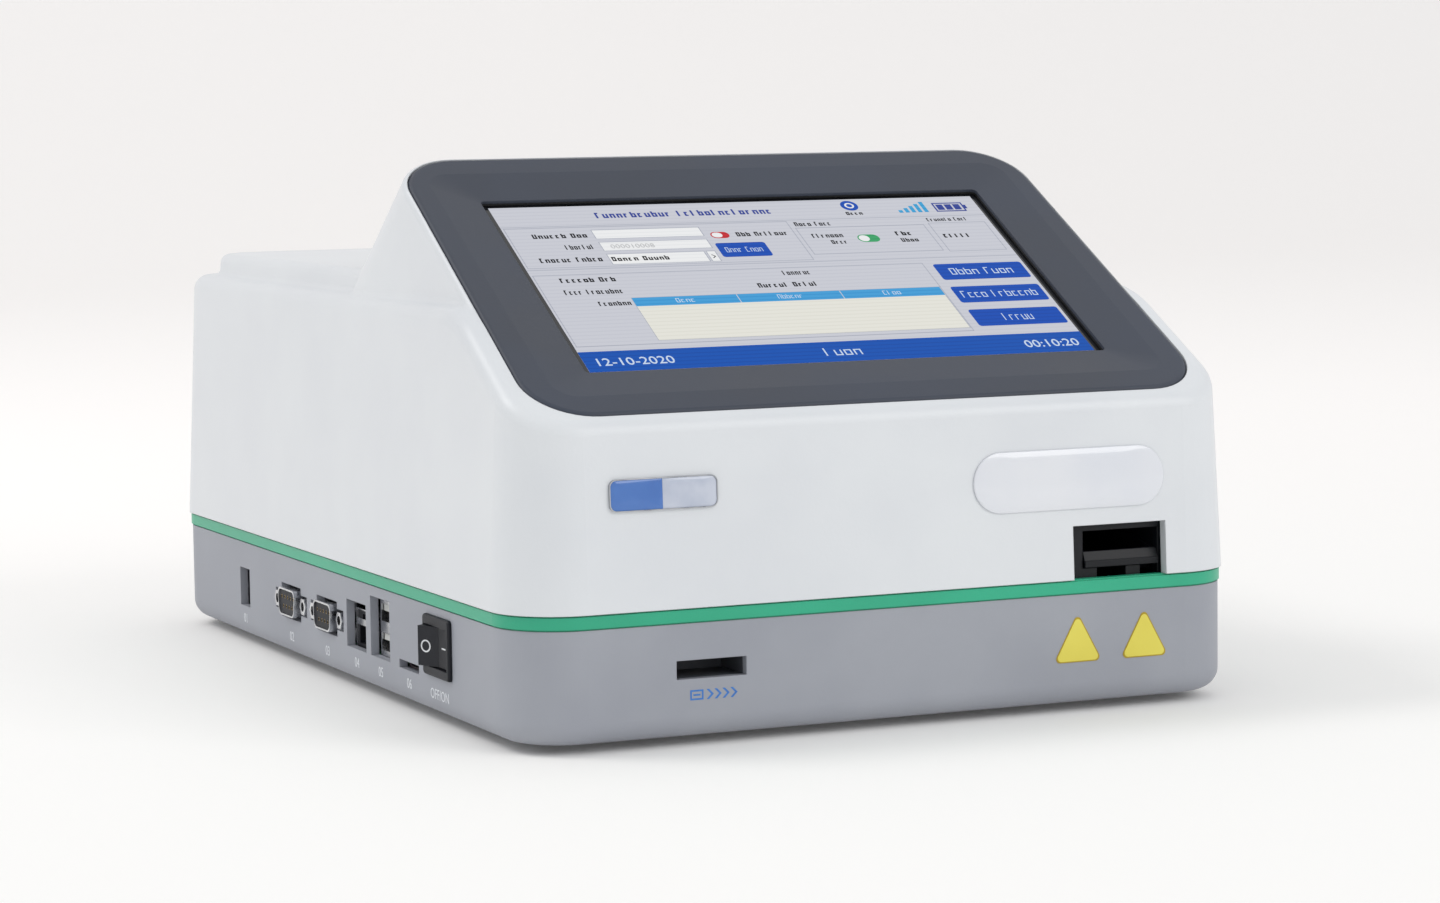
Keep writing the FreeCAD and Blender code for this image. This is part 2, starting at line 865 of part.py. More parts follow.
def display_bezel():
    """The painted surround: rounded at its outer edge and dished down to the glass."""
    floor = face_rise - bezel_recess
    top = face_rise + bezel_proud
    plate = prism(bezel_outline(0, floor), Vector(0, 0, top - floor))
    plate = plate.makeFillet(bezel_edge_round, edges_at(plate, lambda v: v.Z, top))
    opening = prism(display_window(0, floor - 1, bezel_inner_round), Vector(0, 0, top - floor + 2))
    low_wire = display_window(0, top - bezel_dish_depth, bezel_inner_round)
    high_wire = display_window(bezel_dish_width, top, bezel_dish_corner)
    dish = Part.makeLoft([low_wire, high_wire], True, True)
    return on_display(cut_all(plate, [dish, opening]))


def display_gasket():
    floor = face_rise - bezel_recess
    half = screen_width / 2 + mask_side
    low = -mask_bottom
    high = screen_height + mask_top
    w = gasket_width
    outer = rounded_block(-half - w, half + w, low - w, high + w, 0, floor, bezel_inner_round + w)
    inner = rounded_block(-half, half, low, high, -1, floor + 1, bezel_inner_round)
    return on_display(outer.cut(inner))


def touch_panel():
    return on_display(rounded_block(-glass_half, glass_half, glass_low, glass_high, -glass_thickness, 0, 1.0))


def lcd_module():
    half = glass_half
    body = box(-half, half, glass_low, glass_high, module_back, -glass_thickness)
    half = half - bracket_lip
    low = glass_low + bracket_lip
    high = glass_high - bracket_lip
    recess = rounded_block(-half, half, low, high, module_back - 1, module_back + pan_recess, 2.0)
    return on_display(body.cut(recess))


def bracket_ears(z0, z1):
    half = glass_half
    plate = rounded_block(-half, half, glass_low, glass_high, z0, z1, 3.0)
    ears = []
    for x, v in bracket_bosses:
        outer = x + math.copysign(ear_margin, x)
        x0, x1 = sorted((outer, math.copysign(half - bracket_lip, x)))
        ears.append(rounded_block(x0, x1, v - ear_margin, v + ear_margin, z0, z1, bracket_boss_radius))
    return joined([plate] + ears)


def display_board_holes():
    half = display_board_half - display_board_inset
    rows = (display_board_inset, display_board_height - display_board_inset)
    return [(sx * half, glass_low + row) for sx in (-1, 1) for row in rows]


def display_bracket():
    z1 = module_back
    z0 = z1 - bracket_thickness
    plate = bracket_ears(z0, z1)
    half = glass_half - bracket_rim
    window = rounded_block(
        -half, half, glass_low + bracket_base, glass_high - bracket_top, z0 - 1, z1 + 1, bracket_lip
    )
    pad_z = z0 - display_board_gap
    pads = [rod(2 * display_screw_radius + 0.5, (x, v, pad_z), (x, v, z0)) for x, v in display_board_holes()]
    plate = joined([plate.cut(window)] + pads)
    clear = bracket_screw_radius + fit_gap
    holes = [rod(clear, (x, v, z0 - 1), (x, v, z1 + 1)) for x, v in bracket_bosses]
    tapped = display_screw_radius + running_gap
    holes += [rod(tapped, (x, v, pad_z - 1), (x, v, z1 + 1)) for x, v in display_board_holes()]
    return on_display(cut_all(plate, holes))


def display_board():
    top = module_back - bracket_thickness - display_board_gap
    bottom = top - board_thickness
    v0 = glass_low
    board = box(-display_board_half, display_board_half, v0, v0 + display_board_height, bottom, top)
    clear = display_screw_radius + running_gap
    holes = [rod(clear, (x, v, bottom - 1), (x, v, top + 1)) for x, v in display_board_holes()]
    half, low, high, depth = display_chip
    chip = box(-half, half, v0 + low, v0 + high, bottom - depth, bottom)
    left, right, low, high, depth = display_plug
    plug = box(left, right, v0 + low, v0 + high, bottom - depth, bottom)
    return on_display(joined([cut_all(board, holes), chip, plug]))


def bracket_screws():
    places = [(x, v, module_back - bracket_thickness) for x, v in bracket_bosses]
    length = bracket_thickness - module_back + face_rise - face_wall - boss_floor - running_gap
    fixing = screws(
        places, bracket_screw_radius, bracket_screw_head, bracket_screw_head_height, length, True
    )
    board_bottom = module_back - bracket_thickness - display_board_gap - board_thickness
    places = [(x, v, board_bottom) for x, v in display_board_holes()]
    length = board_thickness + display_board_gap + bracket_thickness - running_gap
    small = screws(places, display_screw_radius, display_screw_head, display_screw_head_height, length, True)
    return on_display(Part.makeCompound([fixing, small]))


# ---------------------------------------------------------------- card tray and its drive
tray_x1 = slot_x1 - tray_slot_gap
tray_x0 = tray_x1 - tray_width
tray_y0 = front_y + tray_set_back
tray_y1 = tray_y0 + tray_length
tray_z0 = band_top + tray_rise
circular_pitch = math.pi * tooth_module
pinion_pitch_radius = tooth_module * pinion_teeth / 2
pitch_line_z = tray_z0 - 1.5 * tooth_module
rack_addendum = 0.9 * tooth_module
rack_dedendum = 1.25 * tooth_module
pinion_y = tray_y1 - tray_out_travel - 1.5 * circular_pitch
pinion_z = pitch_line_z - pinion_pitch_radius
guide_x0 = tray_x0 - slide_gap - guide_wall
guide_x1 = tray_x1 + slide_gap + guide_wall
guide_y0 = front_y + band_inset + band_width + band_clearance
guide_y1 = guide_y0 + guide_length
guide_z0 = tray_z0 - slide_gap - guide_rail_drop
guide_roof_z = band_top + slot_height - guide_head_room
guide_top_z = guide_roof_z + guide_roof
optic_x = (tray_x0 + tray_x1) / 2
optic_y = tray_y0 + optic_forward


def guide_bosses():
    left = guide_x0 - tab_length / 2
    right = guide_x1 + tab_length / 2
    back = guide_y1 - tab_width
    return [
        (left, guide_y0 + tab_width),
        (left, back),
        (right, pinion_y + motor_radius + tab_width),
        (right, back),
    ]


def yz_prism(points, x0, x1):
    wire = Part.makePolygon([Vector(x0, y, z) for y, z in points + points[:1]])
    return prism(wire, Vector(x1 - x0, 0, 0))


def rack_teeth():
    """Straight-sided teeth on the tray's underside, with a gap over the pinion's centre."""
    root = pitch_line_z + rack_dedendum
    tip = pitch_line_z - rack_addendum
    lean = math.tan(math.radians(pressure_angle))
    half_pitch_line = (circular_pitch - tooth_play) / 4
    half_root = half_pitch_line + rack_dedendum * lean
    half_tip = half_pitch_line - rack_addendum * lean
    first = math.ceil((tray_y0 + tray_lip_depth - pinion_y) / circular_pitch)
    last = math.floor((tray_y1 - pinion_y) / circular_pitch)
    points = [(pinion_y + first * circular_pitch, root)]
    for i in range(first, last):
        centre = pinion_y + (i + 0.5) * circular_pitch
        points += [(centre - half_root, root), (centre - half_tip, tip)]
        points += [(centre + half_tip, tip), (centre + half_root, root)]
    end = pinion_y + last * circular_pitch
    points += [(end, root), (end, tray_z0), (points[0][0], tray_z0)]
    return yz_prism(points, tray_x1 - rack_width, tray_x1)


def card_tray():
    floor_z = tray_z0 + tray_plate
    plate = box(tray_x0, tray_x1, tray_y0, tray_y1, tray_z0, floor_z)
    lip_top = tray_z0 + tray_lip_height
    bevel = tray_lip_depth * 0.6
    lip = yz_prism(
        [
            (tray_y0, tray_z0),
            (tray_y0, tray_z0 + 1.0),
            (tray_y0 + bevel, lip_top),
            (tray_y0 + tray_lip_depth, lip_top),
            (tray_y0 + tray_lip_depth, tray_z0),
        ],
        tray_x0,
        tray_x1,
    )
    wall_top = tray_z0 + tray_wall_height
    wall_start = tray_y0 + tray_lip_depth
    wall_points = [
        (wall_start - 0.5, tray_z0),
        (wall_start - 0.5, lip_top),
        (wall_start, lip_top),
        (wall_start + tray_ramp, wall_top),
        (tray_y1, wall_top),
        (tray_y1, tray_z0),
    ]
    walls = [yz_prism(wall_points, x, x + tray_wall) for x in (tray_x0, tray_x1 - tray_wall)]
    stop_y = tray_y0 + tray_lip_depth + cassette_length + slide_gap
    stop = box(tray_x0, tray_x1, stop_y, stop_y + 2.0, tray_z0, wall_top - 2.0)
    tray = joined([plate, lip, stop, rack_teeth()] + walls)
    tail = rounded_block(
        tray_x0 + 4, tray_x1 - rack_width - 1, stop_y + 4, tray_y1 - 3, tray_z0 - 1, floor_z + 1, 2.0
    )
    return tray.cut(tail)


def tray_guide():
    """The tunnel the tray runs in: rails under the tray, walls, a roof and a plate behind the slot."""
    inner_x0 = guide_x0 + guide_wall
    inner_x1 = guide_x1 - guide_wall
    body = box(guide_x0, guide_x1, guide_y0, guide_y1, guide_z0, guide_top_z)
    face_top = band_top + slot_height + guide_wall
    face_x0 = slot_x0 - guide_wall
    face_x1 = slot_x1 + guide_wall
    face = box(face_x0, face_x1, guide_y0, guide_y0 + guide_flange, guide_z0, face_top)
    plate_half = motor_radius + motor_plate_margin
    plate = box(
        inner_x1, guide_x1, pinion_y - plate_half, pinion_y + plate_half, pinion_z - plate_half, guide_z0 + 1
    )
    tabs = []
    for x, y in guide_bosses():
        half_x = tab_length / 2
        toward = guide_wall / 2 if x < guide_x0 else -guide_wall / 2
        x0 = x - half_x + min(toward, 0)
        x1 = x + half_x + max(toward, 0)
        tab_top = guide_z0 + guide_tab_thickness
        tabs.append(box(x0, x1, y - tab_width / 2, y + tab_width / 2, guide_z0, tab_top))
    rack_x0 = tray_x1 - rack_width - slide_gap
    floor_z = guide_z0 + guide_floor
    run_z = tray_z0 - slide_gap
    end = guide_y1 + 1
    start = guide_y0 - 1
    pit = pinion_pitch_radius + 2 * tooth_module + slide_gap
    cuts = [
        box(inner_x0, inner_x1, start, end, run_z, guide_roof_z),
        box(inner_x0 + rail_width, rack_x0 - rail_width, start, end, floor_z, run_z + 1),
        box(rack_x0, inner_x1, start, end, floor_z, run_z + 1),
        box(rack_x0, inner_x1, pinion_y - pit, pinion_y + pit, guide_z0 - 1, run_z),
        rod_z(lens_radius - lens_ledge, optic_x, optic_y, guide_roof_z - 1, guide_top_z + 1),
        rod_x(motor_shaft_radius + slide_gap, inner_x1 - 1, guide_x1 + 1, pinion_y, pinion_z),
    ]
    clear = board_screw_radius + fit_gap
    for x, y in guide_bosses():
        cuts.append(rod(clear, (x, y, guide_z0 - 1), (x, y, guide_z0 + guide_tab_thickness + 1)))
    return cut_all(joined([body, face, plate] + tabs), cuts)


def guide_screws():
    places = [(x, y, guide_z0 + guide_tab_thickness) for x, y in guide_bosses()]
    return screws(
        places, board_screw_radius, board_screw_head, board_screw_head_height, board_screw_length, False
    )


def drive_pinion():
    """An involute pinion with one tooth pointing straight up into the rack."""
    base = pinion_pitch_radius * math.cos(math.radians(pressure_angle))
    tip = pinion_pitch_radius + tooth_module
    root = pinion_pitch_radius - 1.12 * tooth_module
    pitch_half = (circular_pitch - tooth_play) / 4 / pinion_pitch_radius
    involute = math.tan(math.radians(pressure_angle)) - math.radians(pressure_angle)
    steps = 3
    flank = [(root, pitch_half + involute)]
    for i in range(steps + 1):
        radius = base + (tip - base) * i / steps
        angle = math.acos(base / radius)
        flank.append((radius, pitch_half + involute - (math.tan(angle) - angle)))
    points = []
    for tooth in range(pinion_teeth):
        centre = 2 * math.pi * tooth / pinion_teeth
        outline = [(r, centre - a) for r, a in flank] + [(r, centre + a) for r, a in reversed(flank)]
        points += [(pinion_y + r * math.sin(a), pinion_z + r * math.cos(a)) for r, a in outline]
    x0 = tray_x1 - rack_width / 2 - pinion_width / 2
    gear = yz_prism(points, x0, x0 + pinion_width)
    bore = rod(motor_shaft_radius, (x0 - 1, pinion_y, pinion_z), (x0 + pinion_width + 1, pinion_y, pinion_z))
    return gear.cut(bore)


motor_x0 = guide_x1


def motor_shaft():
    x0 = tray_x1 - rack_width / 2 - pinion_width / 2
    return rod(motor_shaft_radius, (x0, pinion_y, pinion_z), (motor_x0 + shaft_depth, pinion_y, pinion_z))


def tray_motor():
    middle = motor_x0 + gearbox_length
    end = middle + motor_length
    gearbox = rod(motor_radius, (motor_x0, pinion_y, pinion_z), (middle, pinion_y, pinion_z))
    can = rod(motor_radius - 1.2, (middle, pinion_y, pinion_z), (end, pinion_y, pinion_z))
    can = can.makeFillet(1.0, edges_at(can, lambda v: v.X, end))
    bore_end = motor_x0 + shaft_depth + slide_gap
    bore = rod_x(motor_shaft_radius + running_gap, motor_x0 - 1, bore_end, pinion_y, pinion_z)
    return joined([gearbox, can]).cut(bore)


def optic_head():
    y0 = optic_y - optic_length / 2
    y1 = optic_y + optic_length / 2
    z0 = guide_top_z
    z1 = z0 + optic_height
    side = [(y0, z0), (y0, z1 - optic_chamfer), (y0 + optic_chamfer, z1), (y1, z1), (y1, z0)]
    body = yz_prism(side, tray_x0 + optic_inset, tray_x1 - optic_inset)
    top = z0 + lens_port_depth
    return body.cut(rod(lens_radius + running_gap, (optic_x, optic_y, z0 - 1), (optic_x, optic_y, top)))


def optic_lens():
    z1 = guide_top_z + lens_thickness
    lens = rod(lens_radius, (optic_x, optic_y, guide_top_z), (optic_x, optic_y, z1))
    crown_radius = 3 * lens_radius
    return lens.common(Part.makeSphere(crown_radius, Vector(optic_x, optic_y, z1 - crown_radius)))


def light_barrel():
    """The lamp tube on the sloping face of the optical head."""
    start = Vector(
        optic_x,
        optic_y - optic_length / 2 + optic_chamfer / 2,
        guide_top_z + optic_height - optic_chamfer / 2,
    )
    outward = Vector(0, -1, 1).normalize()
    tube = Part.makeCylinder(barrel_radius, barrel_length, start, outward)
    cap = Part.makeCylinder(barrel_cap_radius, barrel_length + barrel_cap_length, start, outward)
    return joined([tube, cap])


def optic_board():
    z0 = guide_top_z + optic_height
    z1 = z0 + board_thickness
    y0 = optic_y - optic_length / 2 + optic_chamfer
    board = box(tray_x0 - 1, tray_x1 + 1, y0, y0 + optic_board_length, z0, z1)
    edge = optic_chip_edge
    x0 = tray_x0 + edge
    chip_y = y0 + edge
    chip = box(x0, x0 + optic_chip, chip_y, chip_y + optic_chip, z1, z1 + optic_chip_height)
    plug_y = y0 + optic_plug_start
    side = optic_plug_side
    plug = box(tray_x0 + side, tray_x1 - side, plug_y, plug_y + optic_plug_width, z1, z1 + optic_plug_height)
    return joined([board, chip, plug])


# ---------------------------------------------------------------- electronics on the base
def main_board():
    corner_y = board_y0 + board_notch_y
    points = [
        (board_x0, corner_y),
        (board_x0 + board_notch_x, corner_y),
        (board_x0 + board_notch_x, board_y0),
        (board_x1, board_y0),
        (board_x1, board_y1),
        (board_x0, board_y1),
    ]
    wire = rounded_wire(points, [board_corner] * len(points), level(board_level))
    board = prism(wire, Vector(0, 0, board_thickness))
    radius = board_screw_radius + board_hole_gap
    holes = [rod_z(radius, x, y, board_level - 1, board_top + 1) for x, y in board_holes]
    return cut_all(board, holes)


def board_screws():
    places = [(x, y, board_top) for x, y in board_holes]
    span = board_top - floor_top - 0.5
    return screws(places, board_screw_radius, board_screw_head, board_screw_head_height, span, False)


def board_parts():
    """The bigger parts soldered to the board: processor can, memory, regulator coils and a buzzer."""
    x = (board_x0 + board_x1) / 2
    y = (board_y0 + board_y1) / 2
    z = board_top
    shapes = []
    for dx, dy, width, length, height, corner in board_chips:
        x0 = x + dx
        y0 = y + dy
        shapes.append(rounded_block(x0, x0 + width, y0, y0 + length, z, z + height, corner))
    dx, dy = buzzer_place
    centre = (x + dx, y + dy, z)
    shapes.append(ring(buzzer_radius, buzzer_hole_radius, centre, (x + dx, y + dy, z + buzzer_height)))
    return Part.makeCompound(shapes)


def backup_cell():
    x = board_x1 - cell_inset
    y = board_y0 + cell_from_front
    top = board_top + cell_height
    cell = rod(cell_radius, (x, y, board_top), (x, y, top))
    return cell.makeFillet(0.5, edges_at(cell, lambda v: v.Z, top))


# ---------------------------------------------------------------- left-hand ports
port_face_x = wall_back_x + port_set_back


def d_outline(y, half_y, half_z, x):
    slant = 2 * half_z * math.tan(math.radians(serial_slant))
    points = [
        (y - half_y, serial_level + half_z),
        (y - half_y + slant, serial_level - half_z),
        (y + half_y - slant, serial_level - half_z),
        (y + half_y, serial_level + half_z),
    ]
    return rounded_wire(points, [serial_corner] * 4, side_plane(x))


serial_flange_x = wall_back_x + serial_set_back
serial_back_x = serial_flange_x + serial_flange_thickness
serial_tip_x = wall_face_x - serial_shell_out


def post_places(from_front):
    y = port_y(from_front)
    return (y - serial_post_spacing / 2, y + serial_post_spacing / 2)


def serial_shells():
    """Drawn steel shells with their flanges, which stand behind the casing's wall."""
    shapes = []
    w = serial_shell_wall
    depth = Vector(serial_back_x - serial_tip_x, 0, 0)
    for from_front in serial_from_front:
        y = port_y(from_front)
        shell = prism(d_outline(y, serial_half_y, serial_half_z, serial_tip_x), depth)
        half_y = serial_flange_half_y
        half_z = serial_flange_half_z
        flange = bar(serial_flange_x, serial_back_x, y, half_y, serial_level, half_z)
        hollow = prism(d_outline(y, serial_half_y - w, serial_half_z - w, serial_tip_x), depth)
        holes = [
            rod_x(serial_stem_radius + fit_gap, serial_tip_x, serial_back_x, post_y, serial_level)
            for post_y in post_places(from_front)
        ]
        shapes.append(cut_all(joined([shell, flange]), [hollow] + holes))
    return Part.makeCompound(shapes)


def serial_inserts():
    """Nylon cores with nine contact holes each, and the housings that stand on the board."""
    shapes = []
    w = serial_shell_wall
    x0 = serial_tip_x + w
    body_x = serial_back_x + serial_body_depth
    for from_front in serial_from_front:
        y = port_y(from_front)
        outline = d_outline(y, serial_half_y - w, serial_half_z - w, x0)
        core = prism(outline, Vector(serial_back_x - x0, 0, 0))
        half_y = serial_flange_half_y
        top = serial_level + serial_flange_half_z
        body = box(serial_back_x, body_x, y - half_y, y + half_y, board_top, top)
        cuts = []
        for offset, count in ((serial_row_offset, 5), (-serial_row_offset, 4)):
            for i in range(count):
                pin_y = y + (i - (count - 1) / 2) * serial_pin_pitch
                pin_z = serial_level + offset
                cuts.append(rod_x(serial_pin_radius, x0, x0 + serial_stem_length, pin_y, pin_z))
        end = serial_back_x + serial_stem_length
        for post_y in post_places(from_front):
            cuts.append(rod_x(serial_stem_radius + fit_gap, serial_back_x, end, post_y, serial_level))
        shapes.append(cut_all(joined([core, body]), cuts))
    return Part.makeCompound(shapes)


def serial_posts():
    """Hexagonal posts on the flanges, threaded for the plug's screws, with their stems in the housings."""
    shapes = []
    x0 = serial_flange_x - post_length
    corner = post_flat / 2 / math.cos(math.pi / 6)
    for from_front in serial_from_front:
        for y in post_places(from_front):
            turns = [math.pi / 3 * i for i in range(6)]
            points = [(y + corner * math.cos(a), serial_level + corner * math.sin(a)) for a in turns]
            body = yz_prism(points, x0, serial_flange_x)
            end = serial_back_x + serial_stem_length - fit_gap
            stem = rod(serial_stem_radius, (serial_flange_x, y, serial_level), (end, y, serial_level))
            depth = x0 + post_length - post_thread_floor
            thread = rod(serial_post_thread_radius, (x0, y, serial_level), (depth, y, serial_level))
            shapes.append(joined([body, stem]).cut(thread))
    return Part.makeCompound(shapes)


def lan_block(x0, skin, low):
    """The socket's box on the board, drawn in from its outside by the skin."""
    y = port_y(lan_from_front)
    half = lan_width / 2 - skin
    return box(x0, port_face_x + lan_depth - skin, y - half, y + half, low, board_top + lan_height - skin)


def lan_shield():
    """A folded steel case open at the front and below, with a strip across its mouth."""
    case = lan_block(port_face_x, 0, board_top).cut(lan_block(port_face_x - 1, lan_skin, board_top - 1))
    low = board_top + lan_strip_rise
    half = lan_width / 2
    y = port_y(lan_from_front)
    strip = box(port_face_x, port_face_x + lan_skin, y - half, y + half, low, low + lan_strip_height)
    return joined([case, strip])


def lan_insert():
    """The nylon block with the plug's opening, the notch for its latch and eight sprung contacts."""
    y = port_y(lan_from_front)
    x0 = port_face_x + lan_skin
    x1 = x0 + lan_socket_depth
    low = board_top + lan_floor
    high = low + lan_socket_height
    socket = box(x0 - 1, x1, y - lan_socket_half, y + lan_socket_half, low, high)
    latch = box(x0 - 1, x1, y - lan_latch_half, y + lan_latch_half, high - 1, high + lan_latch_height)
    body = cut_all(lan_block(x0, lan_skin, board_top), [socket, latch])
    contacts = []
    for i in range(lan_contact_count):
        contact_y = y + (i - (lan_contact_count - 1) / 2) * lan_contact_pitch
        half = lan_contact_pitch / 5
        rise = low + lan_contact_height
        start = x0 + lan_contact_set_back
        contacts.append(box(start, x1 - 1, contact_y - half, contact_y + half, low - lan_skin, rise))
    return joined([body] + contacts)


def usb_shell():
    y = port_y(usb_from_front)
    half = usb_width / 2
    body = box(port_face_x, port_face_x + usb_depth, y - half, y + half, board_top, board_top + usb_height)
    mouth_end = port_face_x + usb_mouth_depth
    half = usb_mouth_width / 2
    mouths = [bar(port_face_x - 1, mouth_end, y, half, z, usb_mouth_height / 2) for z in usb_levels()]
    return cut_all(body, mouths)


def usb_levels():
    return (usb_middle - usb_pitch / 2, usb_middle + usb_pitch / 2)


def usb_tongues():
    y = port_y(usb_from_front)
    x0 = port_face_x + usb_tongue_set_back
    x1 = port_face_x + usb_mouth_depth
    half = usb_tongue_half
    return Part.makeCompound(
        [
            box(x0, x1, y - half, y + half, z + usb_tongue_rise, z + usb_tongue_rise + usb_tongue_height)
            for z in usb_levels()
        ]
    )


def memory_socket():
    y = port_y(memory_slot_from_front)
    end = port_face_x + memory_body_depth
    z = board_top + memory_body_height / 2
    body = bar(port_face_x, end, y, memory_body_half, z, memory_body_height / 2)
    return body.cut(bar(port_face_x - 1, end - memory_back, y, memory_card_half, z, memory_card_height / 2))


def power_inlet():
    y = port_y(power_from_front)
    half = power_body_half
    top = board_top + power_body_height
    body = box(port_face_x, port_face_x + power_body_depth, y - half, y + half, board_top, top)
    bore_end = port_face_x + power_bore_depth
    return body.cut(rod_x(power_bore_radius, port_face_x, bore_end, y, board_top + power_bore_height))


def power_pin():
    y = port_y(power_from_front)
    z = board_top + power_bore_height
    end = port_face_x + power_bore_depth
    return rod(power_pin_radius, (port_face_x + power_pin_set_back, y, z), (end, y, z))


# ---------------------------------------------------------------- power switch
rocker_radius = rocker_length / 2
rocker_pivot_x = wall_face_x + rocker_pivot_inset


def switch_frame():
    y = port_y(switch_from_front)
    z = switch_level
    face_x = wall_face_x - switch_bezel_thickness
    y0 = y - switch_length / 2
    z0 = z - switch_height / 2
    y1 = y0 + switch_length
    z1 = z0 + switch_height
    corners = [(y0, z0), (y1, z0), (y1, z1), (y0, z1)]
    outline = rounded_wire(corners, [switch_bezel_corner] * 4, side_plane(face_x))
    bezel = prism(outline, Vector(switch_bezel_thickness, 0, 0))
    bezel = bezel.makeFillet(switch_bezel_round, edges_at(bezel, lambda v: v.X, face_x))
    end = wall_face_x + switch_depth
    body = bar(wall_face_x, end, y, switch_body_length / 2, z, switch_body_height / 2)
    half_z = rocker_height / 2 + rocker_gap
    cavity_end = wall_face_x + rocker_cavity_depth
    cavity = bar(face_x - 1, cavity_end, y, rocker_radius + rocker_gap, z, half_z)
    reach = half_z + rocker_pivot_length
    bearing = rod_z(rocker_pivot_radius + running_gap, rocker_pivot_x, y, z - reach, z + reach)
    return joined([bezel, body]).cut(Part.makeCompound([cavity, bearing]))


def switch_rocker():
    """A two-faced rocker on its pivot stubs, tipped so that its rear half stands out."""
    y = port_y(switch_from_front)
    lean = math.tan(math.radians(rocker_tilt))
    z0 = switch_level - rocker_height / 2
    disc = Part.makeCylinder(rocker_radius, rocker_height, Vector(0, 0, z0))
    reach = rocker_radius + 1
    floor = rocker_underside
    points = [
        (-rocker_middle_rise, 0),
        (-rocker_middle_rise - reach * lean, reach),
        (floor, reach),
        (floor, -reach),
        (-rocker_middle_rise - reach * lean, -reach),
    ]
    outline = Part.makePolygon([Vector(a, b, z0) for a, b in points + points[:1]])
    rocker = disc.common(prism(outline, Vector(0, 0, rocker_height)))
    stub_reach = rocker_height / 2 + rocker_pivot_length
    stub = rod(rocker_pivot_radius, (0, 0, switch_level - stub_reach), (0, 0, switch_level + stub_reach))
    rocker = joined([rocker, stub])
    rocker.Placement = Placement(Vector(rocker_pivot_x, y, 0), Rotation(Vector(0, 0, 1), rocker_tilt))
    return rocker


def switch_terminals():
    y = port_y(switch_from_front)
    x0 = wall_face_x + switch_depth
    x1 = x0 + terminal_length
    places = [y + i * terminal_pitch for i in (-1, 0, 1)]
    half = terminal_width / 2
    return Part.makeCompound([bar(x0, x1, p, terminal_thickness / 2, switch_level, half) for p in places])


# ---------------------------------------------------------------- coded-card socket
def id_socket():
    half = id_slot_width / 2
    top = id_slot_level + id_slot_height
    wall = id_socket_wall
    body = box(id_x - half - wall, id_x + half + wall, id_front, id_back, board_top, top + wall)
    return body.cut(box(id_x - half, id_x + half, id_front - 1, id_end, id_slot_level, top))


def id_contacts():
    top = id_slot_level + id_slot_height
    start = id_front + id_contact_set_back
    half = id_contact_width / 2
    shapes = []
    for i in range(id_contact_count):
        x = id_x + (i - (id_contact_count - 1) / 2) * id_contact_pitch
        shapes.append(box(x - half, x + half, start, id_end, top - id_contact_height, top))
    return Part.makeCompound(shapes)


# ---------------------------------------------------------------- printer
platen_y = printer_y0 + platen_from_front
platen_z = deck_z - platen_below_deck
lid_hinge_y = printer_y1 - lid_hinge_margin
lid_hinge_z = deck_z - hinge_barrel_radius
lid_half = paper_width / 2 + lid_overlap
bay_half = paper_width / 2 + paper_side_gap
bay_y = printer_y1 - printer_wall - roll_radius
bay_z = deck_z - printer_depth + printer_wall + roll_radius
head_direction = Vector(0, -math.cos(math.radians(head_angle)), -math.sin(math.radians(head_angle)))
head_along = Vector(0, math.sin(math.radians(head_angle)), -math.cos(math.radians(head_angle)))
head_face = platen_radius + slide_gap
head_seat = head_face + heater_thickness + head_thickness
lid_front_y = printer_y0 + paper_lip + paper_exit_gap


def head_block(half_x, near, far_side, half_length):
    """A block on the line from the platen's axis through the print head, at the head's own tilt."""
    centre = Vector(-half_x, platen_y, platen_z)
    places = [(near, -half_length), (near, half_length), (far_side, half_length), (far_side, -half_length)]
    corners = [centre + head_direction * d + head_along * s for d, s in places]
    return prism(Part.makePolygon(corners + corners[:1]), Vector(2 * half_x, 0, 0))


def mechanism_pocket(top):
    """The space for the platen and the sloping seat of the print head."""
    seat = Vector(0, platen_y, platen_z) + head_direction * head_seat
    up = (seat.y - printer_y0 - head_pocket_front) / head_along.y
    upper = seat - head_along * up
    down = (seat.z - bay_z) / -head_along.z
    lower = seat + head_along * down
    lip_y = printer_y0 + paper_lip
    lip_z = upper.z + lip_height
    points = [
        (lip_y, top),
        (lip_y, lip_z),
        (upper.y, lip_z),
        (upper.y, upper.z),
        (lower.y, lower.z),
        (bay_y - roll_radius + 1, bay_z),
        (bay_y - roll_radius + 1, top),
    ]
    return yz_prism(points, -bay_half, bay_half)


def button_place(margin, z0, z1):
    x = printer_width / 2 - button_from_side
    half_x = button_width / 2 + margin
    half_y = button_length / 2 + margin
    y = printer_y - button_forward
    return rounded_block(x - half_x, x + half_x, y - half_y, y + half_y, z0, z1, button_round + margin)


def button_stem(radius, bottom):
    x = printer_width / 2 - button_from_side
    y = printer_y - button_forward
    return rod(radius, (x, y, bottom), (x, y, deck_z - button_height))


